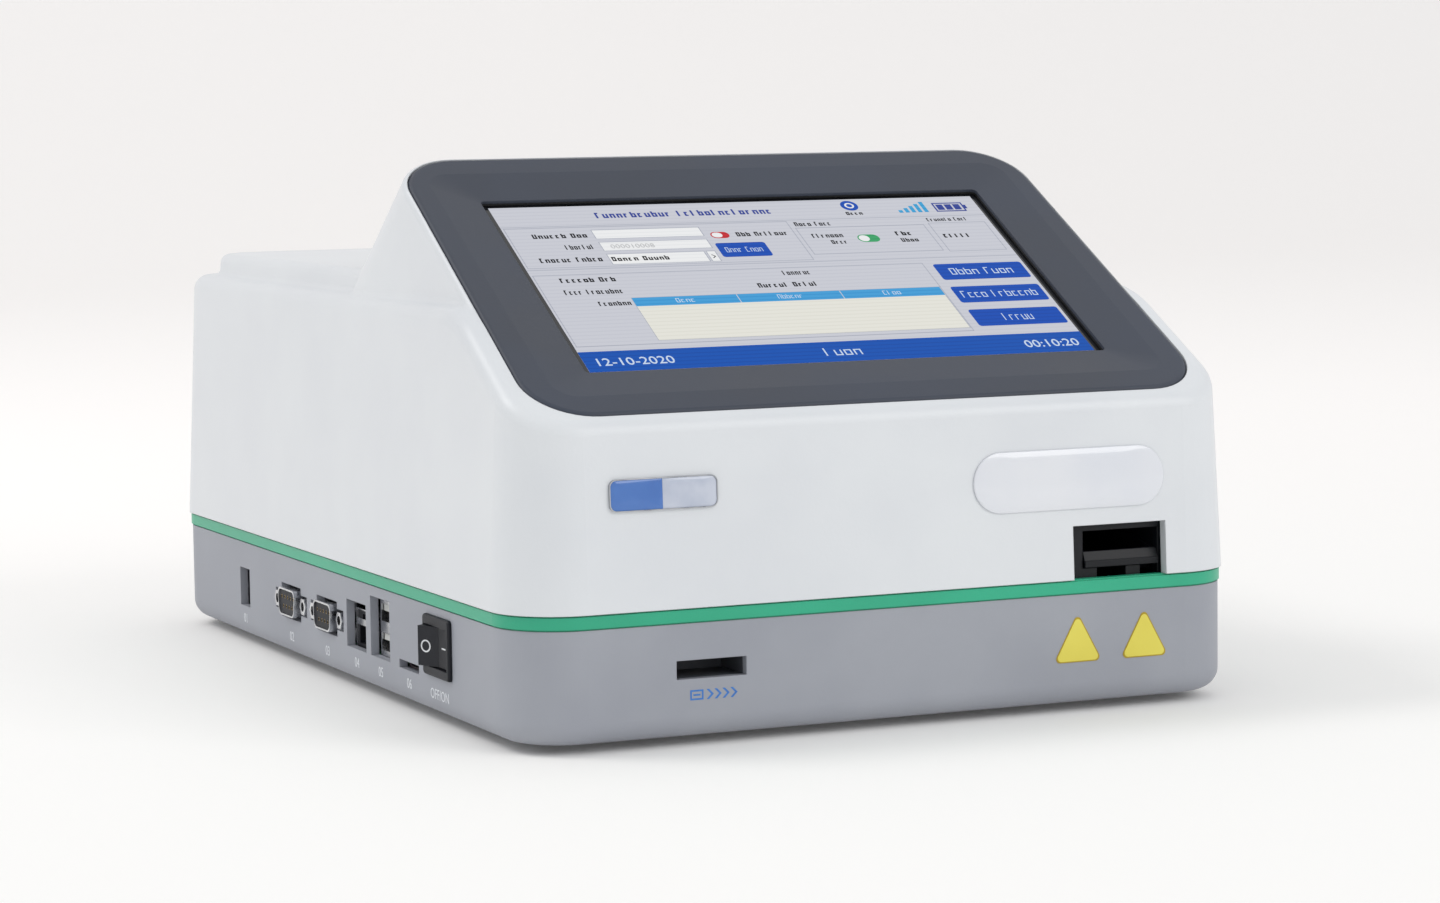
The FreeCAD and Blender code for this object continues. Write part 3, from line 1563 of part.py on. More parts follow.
def printer_frame():
    bottom = deck_z - printer_depth
    top = deck_z + 1
    body = printer_block(0, bottom, deck_z, 0)
    flange = printer_block(0, deck_z - printer_flange_thickness, deck_z, printer_flange)
    rebate = lid_half + slide_gap
    rebate_z = deck_z - lid_thickness - slide_gap
    outer = printer_width / 2 - printer_wall
    inner = bay_half + printer_wall
    button_floor = deck_z - button_height - button_travel - slide_gap
    stem_floor = deck_z - button_height - button_stem_length - button_travel - slide_gap
    stem_back = printer_y - button_forward + button_length / 2 + printer_wall
    pocket_front = printer_y0 + printer_wall
    pocket_back = printer_y1 - printer_wall
    pin_half = lid_half + pin_reach
    bay_front = bay_y - roll_radius
    under_lid = deck_z - lid_thickness - printer_wall
    cuts = [
        box(-bay_half, bay_half, bay_front, bay_y + roll_radius, bay_z, top),
        rod(roll_radius, (-bay_half, bay_y, bay_z), (bay_half, bay_y, bay_z)),
        mechanism_pocket(top),
        box(-rebate, rebate, lid_front_y - slide_gap, lid_hinge_y, rebate_z, top),
        rod_x(hinge_barrel_radius + slide_gap, -rebate, rebate, lid_hinge_y, lid_hinge_z),
        box(-rebate, rebate, lid_hinge_y, lid_hinge_y + hinge_barrel_radius + slide_gap, lid_hinge_z, top),
        rod_x(lid_pin_radius + running_gap, -pin_half, pin_half, lid_hinge_y, lid_hinge_z),
        tear_bar_block(slide_gap / 3, deck_z - tear_bar_height, top),
        button_place(slide_gap, button_floor, top),
        button_stem(button_stem_radius + running_gap, stem_floor),
        box(-outer, -inner, pocket_front, pocket_back, bottom - 1, under_lid),
        box(inner, outer, stem_back, pocket_back, bottom - 1, under_lid),
        box(inner, outer, pocket_front, stem_back - printer_wall, bottom - 1, stem_floor - printer_wall),
        box(-bay_half, bay_half, pocket_front, bay_front - printer_wall, bottom - 1, bay_z - printer_wall),
    ]
    return cut_all(joined([body, flange]), cuts)


def tear_bar_block(gap, z0, z1):
    y1 = printer_y0 + paper_lip
    return box(-bay_half - gap, bay_half + gap, y1 - tear_bar_width - gap, y1 + gap, z0, z1)


def tear_bar():
    """A steel strip with a row of teeth along the paper's exit."""
    y1 = printer_y0 + paper_lip
    z1 = deck_z - slide_gap / 3
    bar = tear_bar_block(0, deck_z - tear_bar_height, z1)
    pitch = 2 * bay_half / tear_teeth
    notches = []
    for i in range(tear_teeth + 1):
        x = -bay_half + i * pitch
        corners = [(x - pitch / 2, y1 + 0.1), (x, y1 - tear_tooth_depth), (x + pitch / 2, y1 + 0.1)]
        outline = [Vector(a, b, deck_z - tear_bar_height) for a, b in corners + corners[:1]]
        notches.append(prism(Part.makePolygon(outline), Vector(0, 0, tear_bar_height)))
    return cut_all(bar, notches)


def printer_lid():
    low = deck_z - lid_thickness
    plate = box(-lid_half, lid_half, lid_front_y, lid_hinge_y, low, deck_z)
    barrel = rod_x(hinge_barrel_radius, -lid_half, lid_half, lid_hinge_y, lid_hinge_z)
    shapes = [plate, barrel]
    for side in (-1, 1):
        inner = side * (platen_length / 2 + slide_gap)
        outer = inner + side * ear_thickness
        x0, x1 = sorted((inner, outer))
        cheek = [
            (platen_y - ear_radius, low + 1),
            (platen_y - ear_radius, platen_z),
            (platen_y + ear_radius, platen_z),
            (platen_y + ear_reach, low + 1),
        ]
        shapes.append(yz_prism(cheek, x0, x1))
        shapes.append(rod(ear_radius, (x0, platen_y, platen_z), (x1, platen_y, platen_z)))
    lid = joined(shapes)
    scoop_y = lid_front_y - finger_scoop_radius + finger_scoop_depth
    half = lid_half - printer_wall
    hollow_y0 = platen_y + ear_reach + printer_wall
    hollow_y1 = lid_hinge_y - 2 * hinge_barrel_radius
    cuts = [
        rod_z(finger_scoop_radius, 0, scoop_y, low - 1, deck_z + 1),
        rounded_block(-half, half, hollow_y0, hollow_y1, low - 1, deck_z - lid_skin, button_round),
        rod_x(lid_pin_radius + running_gap, -lid_half - 1, lid_half + 1, lid_hinge_y, lid_hinge_z),
        rod_x(platen_shaft_radius + running_gap, -lid_half, lid_half, platen_y, platen_z),
    ]
    return cut_all(lid, cuts)


def lid_pin():
    half = lid_half + pin_reach - slide_gap
    return rod(lid_pin_radius, (-half, lid_hinge_y, lid_hinge_z), (half, lid_hinge_y, lid_hinge_z))


def platen_roller():
    half = platen_length / 2
    return ring(platen_radius, platen_shaft_radius, (-half, platen_y, platen_z), (half, platen_y, platen_z))


def platen_shaft():
    half = platen_length / 2 + slide_gap + ear_thickness
    return rod(platen_shaft_radius, (-half, platen_y, platen_z), (half, platen_y, platen_z))


def print_head():
    return head_block(head_half_width, head_face + heater_thickness, head_seat, head_half_length)


def heater_strip():
    return head_block(head_half_width - 1, head_face, head_face + heater_thickness, heater_half_length)


def release_button():
    low = deck_z - button_height
    cap = button_place(0, low, deck_z - slide_gap / 3)
    cap = cap.makeFillet(slide_gap, edges_at(cap, lambda v: v.Z, deck_z - slide_gap / 3))
    return joined([cap, button_stem(button_stem_radius, low - button_stem_length)])


# ---------------------------------------------------------------- nodes
nodes = {
    "base_shell": base_shell,
    "rubber_feet": rubber_feet,
    "case_screws": case_screws,
    "trim_band": trim_band,
    "top_cover": top_cover,
    "display_bezel": display_bezel,
    "display_gasket": display_gasket,
    "touch_panel": touch_panel,
    "lcd_module": lcd_module,
    "display_bracket": display_bracket,
    "display_board": display_board,
    "bracket_screws": bracket_screws,
    "main_board": main_board,
    "board_screws": board_screws,
    "board_parts": board_parts,
    "backup_cell": backup_cell,
    "power_inlet": power_inlet,
    "power_pin": power_pin,
    "serial_shells": serial_shells,
    "serial_inserts": serial_inserts,
    "serial_posts": serial_posts,
    "lan_shield": lan_shield,
    "lan_insert": lan_insert,
    "usb_shell": usb_shell,
    "usb_tongues": usb_tongues,
    "memory_socket": memory_socket,
    "switch_frame": switch_frame,
    "switch_rocker": switch_rocker,
    "switch_terminals": switch_terminals,
    "id_socket": id_socket,
    "id_contacts": id_contacts,
    "card_tray": card_tray,
    "tray_guide": tray_guide,
    "guide_screws": guide_screws,
    "drive_pinion": drive_pinion,
    "motor_shaft": motor_shaft,
    "tray_motor": tray_motor,
    "optic_head": optic_head,
    "optic_lens": optic_lens,
    "light_barrel": light_barrel,
    "optic_board": optic_board,
    "printer_frame": printer_frame,
    "tear_bar": tear_bar,
    "print_head": print_head,
    "heater_strip": heater_strip,
    "printer_lid": printer_lid,
    "lid_pin": lid_pin,
    "platen_roller": platen_roller,
    "platen_shaft": platen_shaft,
    "release_button": release_button,
}
for name, build in nodes.items():
    build().exportStep("parts/" + name + ".step")
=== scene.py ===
import math
import random

import bmesh
import bpy
from mathutils import Matrix, Vector


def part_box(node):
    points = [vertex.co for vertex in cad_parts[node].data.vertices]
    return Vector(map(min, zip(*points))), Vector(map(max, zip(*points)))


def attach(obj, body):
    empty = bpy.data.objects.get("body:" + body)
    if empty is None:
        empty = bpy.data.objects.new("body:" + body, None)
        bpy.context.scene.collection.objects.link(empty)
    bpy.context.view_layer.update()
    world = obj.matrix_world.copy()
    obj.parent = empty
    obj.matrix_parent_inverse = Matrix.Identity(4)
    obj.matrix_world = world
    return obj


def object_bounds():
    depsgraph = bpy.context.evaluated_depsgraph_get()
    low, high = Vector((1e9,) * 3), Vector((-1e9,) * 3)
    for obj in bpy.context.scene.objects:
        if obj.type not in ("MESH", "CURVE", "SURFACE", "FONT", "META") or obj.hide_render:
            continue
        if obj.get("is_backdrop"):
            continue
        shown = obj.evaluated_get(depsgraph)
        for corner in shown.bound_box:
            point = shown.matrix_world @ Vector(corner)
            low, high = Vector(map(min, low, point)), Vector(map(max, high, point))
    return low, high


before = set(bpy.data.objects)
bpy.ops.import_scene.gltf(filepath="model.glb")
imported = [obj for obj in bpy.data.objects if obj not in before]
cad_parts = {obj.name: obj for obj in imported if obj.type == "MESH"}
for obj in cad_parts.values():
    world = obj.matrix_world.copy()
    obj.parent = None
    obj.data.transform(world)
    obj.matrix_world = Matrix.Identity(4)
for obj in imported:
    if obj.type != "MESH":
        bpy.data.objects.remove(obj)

cad_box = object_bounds()


# ------------------------------------------------------------------ base shell
# The lower half of the casing, a grey ABS tub that stands on four feet. It is
# injection moulded in a spark-eroded tool, so its skin is an even matte grain.

BASE_GREY = "A2A5AD"
BASE_GREY_SHADE = "9A9DA6"
MM = 0.001


def linear(code):
    """An sRGB hex colour as the linear colour that a shader takes."""
    channels = [int(code[i:i + 2], 16) / 255 for i in (0, 2, 4)]
    return tuple(c / 12.92 if c <= 0.04045 else ((c + 0.055) / 1.055) ** 2.4 for c in channels) + (1.0,)


def add(tree, kind, settings, inputs):
    """Adds one node. Settings are its properties, inputs are values or the sockets that feed it."""
    made = tree.nodes.new(kind)
    for name, value in settings.items():
        setattr(made, name, value)
    for name, value in inputs.items():
        if isinstance(value, bpy.types.NodeSocket):
            tree.links.new(value, made.inputs[name])
        else:
            made.inputs[name].default_value = value
    return made


def start_material(name, roughness):
    """An empty material with its shader: returns the material, its tree, its shader and its coordinates."""
    material = bpy.data.materials.new(name)
    material.use_nodes = True
    tree = material.node_tree
    shader = tree.nodes["Principled BSDF"]
    shader.inputs["Roughness"].default_value = roughness
    place = add(tree, "ShaderNodeTexCoord", {}, {}).outputs["Object"]
    return material, tree, shader, place


def vary_colour(tree, shader, place, colour, shade, patch_mm):
    """Drifts the colour between two close tones, in patches of the given size."""
    cloud = add(
        tree, "ShaderNodeTexNoise", {}, {"Vector": place, "Scale": 1 / (patch_mm * MM), "Detail": 3.0}
    )
    ramp = add(tree, "ShaderNodeValToRGB", {}, {"Fac": cloud.outputs["Fac"]})
    ramp.color_ramp.elements[0].position = 0.35
    ramp.color_ramp.elements[0].color = linear(shade)
    ramp.color_ramp.elements[1].position = 0.65
    ramp.color_ramp.elements[1].color = linear(colour)
    tree.links.new(ramp.outputs["Color"], shader.inputs["Base Color"])
    return cloud.outputs["Fac"]


def vary_gloss(tree, shader, cloud, roughness, spread):
    """Lets the gloss drift with the same patches as the colour."""
    span = {"To Min": roughness - spread, "To Max": roughness + spread}
    drift = add(tree, "ShaderNodeMapRange", {}, {"Value": cloud, "From Min": 0.3, "From Max": 0.7, **span})
    tree.links.new(drift.outputs["Result"], shader.inputs["Roughness"])


def moulded(name, colour, shade, roughness, grain_mm, depth_mm, edge_mm):
    """Moulded plastic: eroded grain, a faint drift of colour and gloss, and edges rounded by the tool."""
    material, tree, shader, place = start_material(name, roughness)
    cloud = vary_colour(tree, shader, place, colour, shade, 45)
    vary_gloss(tree, shader, cloud, roughness, 0.05)
    grain = add(
        tree, "ShaderNodeTexNoise", {}, {"Vector": place, "Scale": 1 / (grain_mm * MM), "Detail": 2.0}
    )
    soft = add(tree, "ShaderNodeBevel", {"samples": 3}, {"Radius": edge_mm * MM})
    bump = add(
        tree,
        "ShaderNodeBump",
        {},
        {
            "Strength": 0.5,
            "Distance": depth_mm * MM,
            "Height": grain.outputs["Fac"],
            "Normal": soft.outputs["Normal"],
        },
    )
    tree.links.new(bump.outputs["Normal"], shader.inputs["Normal"])
    return material


def dull(material, level):
    """Lowers how much a dark surface mirrors, and returns it."""
    material.node_tree.nodes["Principled BSDF"].inputs["Specular IOR Level"].default_value = level
    return material


def dress(material, *nodes):
    """Gives nodes of the frame their material."""
    for name in nodes:
        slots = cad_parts[name].data.materials
        slots.clear()
        slots.append(material)


# grain of 0.9 mm: the real one is about 0.1 mm, too fine to show
base_abs = moulded("grey_abs_spark_eroded", BASE_GREY, BASE_GREY_SHADE, 0.5, 0.9, 0.05, 0.3)
dress(base_abs, "base_shell")


# ------------------------------------------------------------------ feet and case screws
# Four moulded rubber feet and the pan-head screws that close the casing from
# below. Rubber shows a dull, faintly dusty black; the screws are bright zinc.

RUBBER_BLACK = "1B1B1D"
RUBBER_DUST = "2A2A2C"
ZINC = "B9BBBE"
ZINC_SHADE = "9DA0A6"
MARK_DEPTH = 0.02 * MM


def plated(name, colour, shade, roughness, grain_mm):
    """Plated metal: near-even colour with a soft cloud in its gloss and the tool's fine marks."""
    material, tree, shader, place = start_material(name, roughness)
    shader.inputs["Metallic"].default_value = 1.0
    cloud = vary_colour(tree, shader, place, colour, shade, 6)
    vary_gloss(tree, shader, cloud, roughness, 0.08)
    grain = add(
        tree, "ShaderNodeTexNoise", {}, {"Vector": place, "Scale": 1 / (grain_mm * MM), "Detail": 1.0}
    )
    bump = add(
        tree, "ShaderNodeBump", {}, {"Strength": 0.3, "Distance": MARK_DEPTH, "Height": grain.outputs["Fac"]}
    )
    tree.links.new(bump.outputs["Normal"], shader.inputs["Normal"])
    return material


rubber = moulded("rubber_moulded", RUBBER_BLACK, RUBBER_DUST, 0.75, 0.7, 0.06, 0.3)
zinc_steel = plated("steel_zinc_plated", ZINC, ZINC_SHADE, 0.32, 0.6)
dress(rubber, "rubber_feet")
dress(zinc_steel, "case_screws", "board_screws", "bracket_screws", "guide_screws")


# ------------------------------------------------------------------ trim band
# An extruded green strip pressed into the groove between the two halves.
# Extruded ABS is smoother than moulded, with faint lines along its length.

BAND_GREEN = "2DB189"
BAND_GREEN_SHADE = "28A57F"
# gives lines 5 mm apart: the real ones are too fine to show
DIE_LINE_SCALE = 62.5
DIE_LINE_DEPTH = 0.03 * MM

band_abs, band_tree, band_shader, band_place = start_material("green_abs_extruded", 0.36)
vary_colour(band_tree, band_shader, band_place, BAND_GREEN, BAND_GREEN_SHADE, 60)
die_lines = add(
    band_tree,
    "ShaderNodeTexWave",
    {"bands_direction": "Z"},
    {"Vector": band_place, "Scale": DIE_LINE_SCALE, "Distortion": 0.4},
)
die_bump = add(
    band_tree,
    "ShaderNodeBump",
    {},
    {"Strength": 0.2, "Distance": DIE_LINE_DEPTH, "Height": die_lines.outputs["Fac"]},
)
band_tree.links.new(die_bump.outputs["Normal"], band_shader.inputs["Normal"])
dress(band_abs, "trim_band")


# ------------------------------------------------------------------ main board
# The circuit board on the floor of the base: glass-epoxy under green solder
# mask, whose copper tracks show as slightly lighter, raised lines.

MASK_GREEN = "1C6B3C"
TRACK_GREEN = "2C8450"
TRACK_MM = 1.6
TRACK_HEIGHT = 0.035 * MM


def solder_masked(name, mask, track):
    """Circuit board: tracks run in stepped blocks under a glossy mask."""
    material, tree, shader, place = start_material(name, 0.3)
    blocks = add(
        tree,
        "ShaderNodeTexBrick",
        {"offset": 0.5, "squash": 0.6, "squash_frequency": 3},
        {
            "Vector": place,
            "Color1": linear(mask),
            "Color2": linear(mask),
            "Mortar": linear(track),
            "Scale": 1 / (TRACK_MM * MM),
            "Mortar Size": 0.09,
            "Brick Width": 2.2,
            "Row Height": 0.5,
        },
    )
    tree.links.new(blocks.outputs["Color"], shader.inputs["Base Color"])
    bump = add(
        tree,
        "ShaderNodeBump",
        {},
        {"Strength": 0.4, "Distance": TRACK_HEIGHT, "Height": blocks.outputs["Fac"]},
    )
    tree.links.new(bump.outputs["Normal"], shader.inputs["Normal"])
    shader.inputs["Coat Weight"].default_value = 0.4
    shader.inputs["Coat Roughness"].default_value = 0.12
    return material


board_mask = solder_masked("glass_epoxy_solder_masked", MASK_GREEN, TRACK_GREEN)
dress(board_mask, "main_board", "display_board", "optic_board")


# ------------------------------------------------------------------ chips and backup cell
# Transfer-moulded epoxy packages, matte with a fine sandy skin, and a coin
# cell in nickel-plated steel that keeps the clock running.

EPOXY_BLACK = "232427"
EPOXY_SHADE = "1B1C1F"
NICKEL = "D8D9DB"
NICKEL_SHADE = "BCBDC1"

epoxy = moulded("epoxy_transfer_moulded", EPOXY_BLACK, EPOXY_SHADE, 0.6, 0.5, 0.05, 0.15)
nickel = plated("steel_nickel_plated", NICKEL, NICKEL_SHADE, 0.24, 0.5)
dress(epoxy, "board_parts")
dress(nickel, "backup_cell")


# ------------------------------------------------------------------ sockets on the left wall
# Drawn steel shells plated with nickel, which is bright and nearly neutral,
# with cores in dull black nylon. The memory card's shell is painted dark, as painted shade in its slot.

NYLON_BLACK = "12141B"
NYLON_BLACK_SHADE = "161820"
NYLON_GREY = "5A5D65"
NYLON_GREY_SHADE = "51545C"
NYLON_WHITE = "D6D7D4"
NYLON_WHITE_SHADE = "C9CAC6"
GOLD = "B79A58"
GOLD_SHADE = "917640"
SLOT_SHADE_STEEL = "5A5053"
SLOT_SHADE_STEEL_TONE = "4C4447"
NETWORK_PITCH = 1.02 * MM
WIRE_WIDTH = 0.45 * MM
WIRE_THICKNESS = 0.5 * MM
WIRE_LEVEL = 2.4 * MM
WIRE_BACK = 9.0 * MM
WIRE_FRONT = 2.4 * MM
TONGUE_THICKNESS = 1.85 * MM
PAD_OFFSETS = (-3.5 * MM, -1.0 * MM, 1.0 * MM, 3.5 * MM)
PAD_HALF = 0.5 * MM
PAD_RISE = 0.06 * MM
PAD_BACK = 8.0 * MM
PAD_FRONT = 1.0 * MM
POST_SPREAD = 24.99 * MM
POST_RADIUS = 2.77 * MM
SERIAL_PITCH = 2.77 * MM
SERIAL_ROWS = ((1.42 * MM, 5), (-1.42 * MM, 4))
TUBE_RADIUS = 0.58 * MM
TUBE_BORE = 0.36 * MM
TUBE_BACK = 2.6 * MM
TUBE_FRONT = 0.55 * MM

black_nylon = dull(moulded("nylon_black_moulded", NYLON_BLACK, NYLON_BLACK_SHADE, 0.5, 0.8, 0.04, 0.2), 0.3)
grey_nylon = moulded("nylon_grey_moulded", NYLON_GREY, NYLON_GREY_SHADE, 0.5, 0.8, 0.04, 0.2)
white_nylon = moulded("nylon_natural_moulded", NYLON_WHITE, NYLON_WHITE_SHADE, 0.45, 0.8, 0.04, 0.2)
gold_brass = plated("brass_gold_flashed", GOLD, GOLD_SHADE, 0.25, 0.4)
# the memory card's shell gets a dark brownish steel: painted shade for the deep slot it sits in
slot_shade_steel = plated("steel_darkened_as_slot_shade", SLOT_SHADE_STEEL, SLOT_SHADE_STEEL_TONE, 0.5, 0.4)
dress(nickel, "serial_shells", "serial_posts", "lan_shield", "usb_shell", "power_pin")
dress(slot_shade_steel, "memory_socket")
dress(black_nylon, "serial_inserts", "lan_insert", "power_inlet")
dress(white_nylon, "usb_tongues")


def prism(outline, low, high, place):
    """A closed form: an outline carried from one height to another. Place turns (x, y, height) to a point."""
    count = len(outline)
    points = [place(x, y, height) for height in (low, high) for x, y in outline]
    sides = [(i, (i + 1) % count, count + (i + 1) % count, count + i) for i in range(count)]
    return points, sides + [tuple(range(count)), tuple(range(count, 2 * count))]


def hoop(outer, inner, low, high, place):
    """A closed form between two outlines that have the same number of points."""
    count = len(outer)
    points = [place(x, y, height) for height in (low, high) for loop in (outer, inner) for x, y in loop]
    faces = []
    for i in range(count):
        j = (i + 1) % count
        faces.append((i, j, count + j, count + i))
        faces.append((2 * count + i, 2 * count + j, 3 * count + j, 3 * count + i))
        faces.append((i, j, 2 * count + j, 2 * count + i))
        faces.append((count + i, count + j, 3 * count + j, 3 * count + i))
    return points, faces


def oblong(x0, y0, x1, y1):
    return [(x0, y0), (x1, y0), (x1, y1), (x0, y1)]


def piece(name, forms, material, body):
    """Joins closed forms into one piece, with its material, that rides on a body."""
    mesh = bpy.data.meshes.new(name)
    points = []
    faces = []
    for form_points, form_faces in forms:
        start = len(points)
        points.extend(form_points)
        faces.extend(tuple(start + i for i in face) for face in form_faces)
    mesh.from_pydata(points, [], faces)
    work = bmesh.new()
    work.from_mesh(mesh)
    bmesh.ops.recalc_face_normals(work, faces=work.faces)
    work.to_mesh(mesh)
    work.free()
    mesh.materials.append(material)
    made = bpy.data.objects.new(name, mesh)
    bpy.context.scene.collection.objects.link(made)
    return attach(made, body)


def outward(x):
    """Lays a form on a plane of the left wall: x runs to the front, y up, height out of the wall."""
    return lambda along, up, height: Vector((x - height, -along, up))


def network_contacts():
    """Eight gold wires along the floor of the network jack, 1.02 mm apart."""
    low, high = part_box("lan_insert")
    middle = -(low.y + high.y) / 2
    level = low.z + WIRE_LEVEL
    forms = []
    for i in range(8):
        along = middle + (i - 3.5) * NETWORK_PITCH
        wire = oblong(along - WIRE_WIDTH / 2, level, along + WIRE_WIDTH / 2, level + WIRE_THICKNESS)
        forms.append(prism(wire, -WIRE_BACK, -WIRE_FRONT, outward(low.x)))
    return piece("network_contacts", forms, gold_brass, "housing")


def usb_contacts():
    """Four gold pads under each tongue of the stacked pair."""
    low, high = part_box("usb_tongues")
    middle = -(low.y + high.y) / 2
    forms = []
    for bottom in (low.z, high.z - TONGUE_THICKNESS):
        for offset in PAD_OFFSETS:
            along = middle + offset
            pad = oblong(along - PAD_HALF, bottom - PAD_RISE, along + PAD_HALF, bottom + PAD_RISE)
            forms.append(prism(pad, -PAD_BACK, -PAD_FRONT, outward(low.x)))
    return piece("usb_contacts", forms, gold_brass, "housing")


def circle(x, y, radius, count=24):
    turns = [2 * math.pi * i / count for i in range(count)]
    return [(x + radius * math.cos(a), y + radius * math.sin(a)) for a in turns]


def serial_contacts():
    """Nine gold-flashed tubes in each serial socket, in rows of five and four."""
    low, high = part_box("serial_shells")
    posts_low, posts_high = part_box("serial_posts")
    level = (posts_low.z + posts_high.z) / 2
    inset = POST_RADIUS + POST_SPREAD / 2
    forms = []
    for middle in (-posts_low.y - inset, -posts_high.y + inset):
        for row, count in SERIAL_ROWS:
            for i in range(count):
                along = middle + (i - (count - 1) / 2) * SERIAL_PITCH
                tube = circle(along, level + row, TUBE_RADIUS, 12)
                bore = circle(along, level + row, TUBE_BORE, 12)
                forms.append(hoop(tube, bore, -TUBE_BACK, -TUBE_FRONT, outward(low.x)))
    return piece("serial_contacts", forms, gold_brass, "housing")


network_contacts()
usb_contacts()
serial_contacts()


# ------------------------------------------------------------------ power switch
# A panel rocker switch: a black nylon frame and a two-faced rocker on pivots.
# The ring and the bar are pad-printed in white ink, a thin dull film.

INK_WHITE = "E6E8EA"
INK_WHITE_SHADE = "D8DADD"
FILM = 0.05 * MM
RING_RADIUS = 1.75 * MM
RING_LINE = 0.42 * MM
BAR_HALF = 1.5 * MM
# a ray starts this far to the left of the middle, well outside the casing
OUTSIDE_LEFT = -0.2
MARK_FROM_PIVOT = 4.3 * MM


def printed_ink(name, colour, shade, roughness):
    """Pad-printed ink: a thin film that breaks up very slightly over the grain below."""
    material, tree, shader, place = start_material(name, roughness)
    cloud = vary_colour(tree, shader, place, colour, shade, 1.2)
    vary_gloss(tree, shader, cloud, roughness, 0.08)
    bump = add(tree, "ShaderNodeBump", {}, {"Strength": 0.3, "Distance": MARK_DEPTH, "Height": cloud})
    tree.links.new(bump.outputs["Normal"], shader.inputs["Normal"])
    return material


def on_left(node):
    """Lays a form on a node's left side: each point meets the surface below it. x runs to the front, y up."""
    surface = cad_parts[node]

    def place(along, up, height):
        hit, point, _, _ = surface.ray_cast(Vector((OUTSIDE_LEFT, -along, up)), Vector((1, 0, 0)))
        return Vector(((point.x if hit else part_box(node)[0].x) - height, -along, up))

    return place


dress(black_nylon, "switch_frame", "switch_rocker")
dress(gold_brass, "switch_terminals")
white_ink = printed_ink("ink_white_pad_printed", INK_WHITE, INK_WHITE_SHADE, 0.45)
rocker_low, rocker_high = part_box("switch_rocker")
pivot_along = -(rocker_low.y + rocker_high.y) / 2
mark_up = (rocker_low.z + rocker_high.z) / 2
ring_along = pivot_along - MARK_FROM_PIVOT
bar_along = pivot_along + MARK_FROM_PIVOT
ring_outer = circle(ring_along, mark_up, RING_RADIUS)
ring_inner = circle(ring_along, mark_up, RING_RADIUS - RING_LINE)
bar_low = mark_up - RING_LINE / 2
bar_mark = oblong(bar_along - BAR_HALF, bar_low, bar_along + BAR_HALF, bar_low + RING_LINE)
rocker_face = on_left("switch_rocker")
switch_marks = [
    hoop(ring_outer, ring_inner, -FILM, FILM, rocker_face),
    prism(bar_mark, -FILM, FILM, rocker_face),
]
piece("switch_marks", switch_marks, white_ink, "power_rocker")


# ------------------------------------------------------------------ captions beside the sockets
# Small pale figures, pad-printed on the wall under each socket. They number
# the sockets; the two words under the switch are its ON and OFF.

INK_PALE = "E6E9ED"
INK_PALE_SHADE = "DCDFE4"
CAPTION_HEIGHT = 3.0 * MM
CAPTION_LEVEL = 7.7 * MM
SERIAL_OFFSET = 17.4 * MM
# a capital's height as a share of the fount's size
CAPITAL_SHARE = 0.73

pale_ink = printed_ink("ink_pale_grey_pad_printed", INK_PALE, INK_PALE_SHADE, 0.5)


def figures(name, text, height, across, up, lift, place, material):
    """Plain figures set as one piece, centred across, standing on a line at the given height."""
    curve = bpy.data.curves.new(name, "FONT")
    curve.body = text
    curve.size = height / CAPITAL_SHARE
    curve.align_x = "CENTER"
    curve.extrude = FILM
    curve.resolution_u = 3
    draft = bpy.data.objects.new(name + "_draft", curve)
    bpy.context.scene.collection.objects.link(draft)
    bpy.context.view_layer.update()
    mesh = bpy.data.meshes.new_from_object(draft)
    bpy.data.objects.remove(draft)
    for vertex in mesh.vertices:
        vertex.co = place(across + vertex.co.x, up + vertex.co.y, lift + vertex.co.z)
    mesh.name = name
    mesh.materials.clear()
    mesh.materials.append(material)
    made = bpy.data.objects.new(name, mesh)
    bpy.context.scene.collection.objects.link(made)
    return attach(made, "housing")


def middle_along(node):
    low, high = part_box(node)
    return -(low.y + high.y) / 2


captions = {
    "caption_power": ("01", middle_along("power_inlet")),
    "caption_serial_rear": ("02", middle_along("serial_posts") - SERIAL_OFFSET),
    "caption_serial_front": ("03", middle_along("serial_posts") + SERIAL_OFFSET),
    "caption_network": ("04", middle_along("lan_shield")),
    "caption_usb": ("05", middle_along("usb_shell")),
    "caption_memory": ("06", middle_along("memory_socket")),
    "caption_switch": ("OFF/ON", pivot_along),
}
left_wall = on_left("base_shell")
for caption, (text, along) in captions.items():
    figures(caption, text, CAPTION_HEIGHT, along, CAPTION_LEVEL, 0, left_wall, pale_ink)


# ------------------------------------------------------------------ coded-card slot
# A grey nylon socket behind the front wall, with sprung brass contacts. A
# small card sign with arrowheads is pad-printed in blue below it.

INK_BLUE = "3D7CC9"
INK_BLUE_SHADE = "3472BE"
CARD_SIGN = (-61.2, 12.7, -57.4, 15.4)
SIGN_LINE = 0.45
ARROW_START = 0.9
ARROW_STEP = 2.3
ARROW_WIDTH = 0.72
OUTSIDE_FRONT = -0.3

dress(grey_nylon, "id_socket")
dress(gold_brass, "id_contacts")
blue_ink = printed_ink("ink_blue_pad_printed", INK_BLUE, INK_BLUE_SHADE, 0.45)


def in_mm(outline):
    return [(x * MM, y * MM) for x, y in outline]


def on_front(node):
    """Lays a form on a node's front: each point meets the surface behind it. x runs right, y up."""
    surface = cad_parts[node]

    def place(across, up, height):
        hit, point, _, _ = surface.ray_cast(Vector((across, OUTSIDE_FRONT, up)), Vector((0, 1, 0)))
        return Vector((across, (point.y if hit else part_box(node)[0].y) - height, up))

    return place


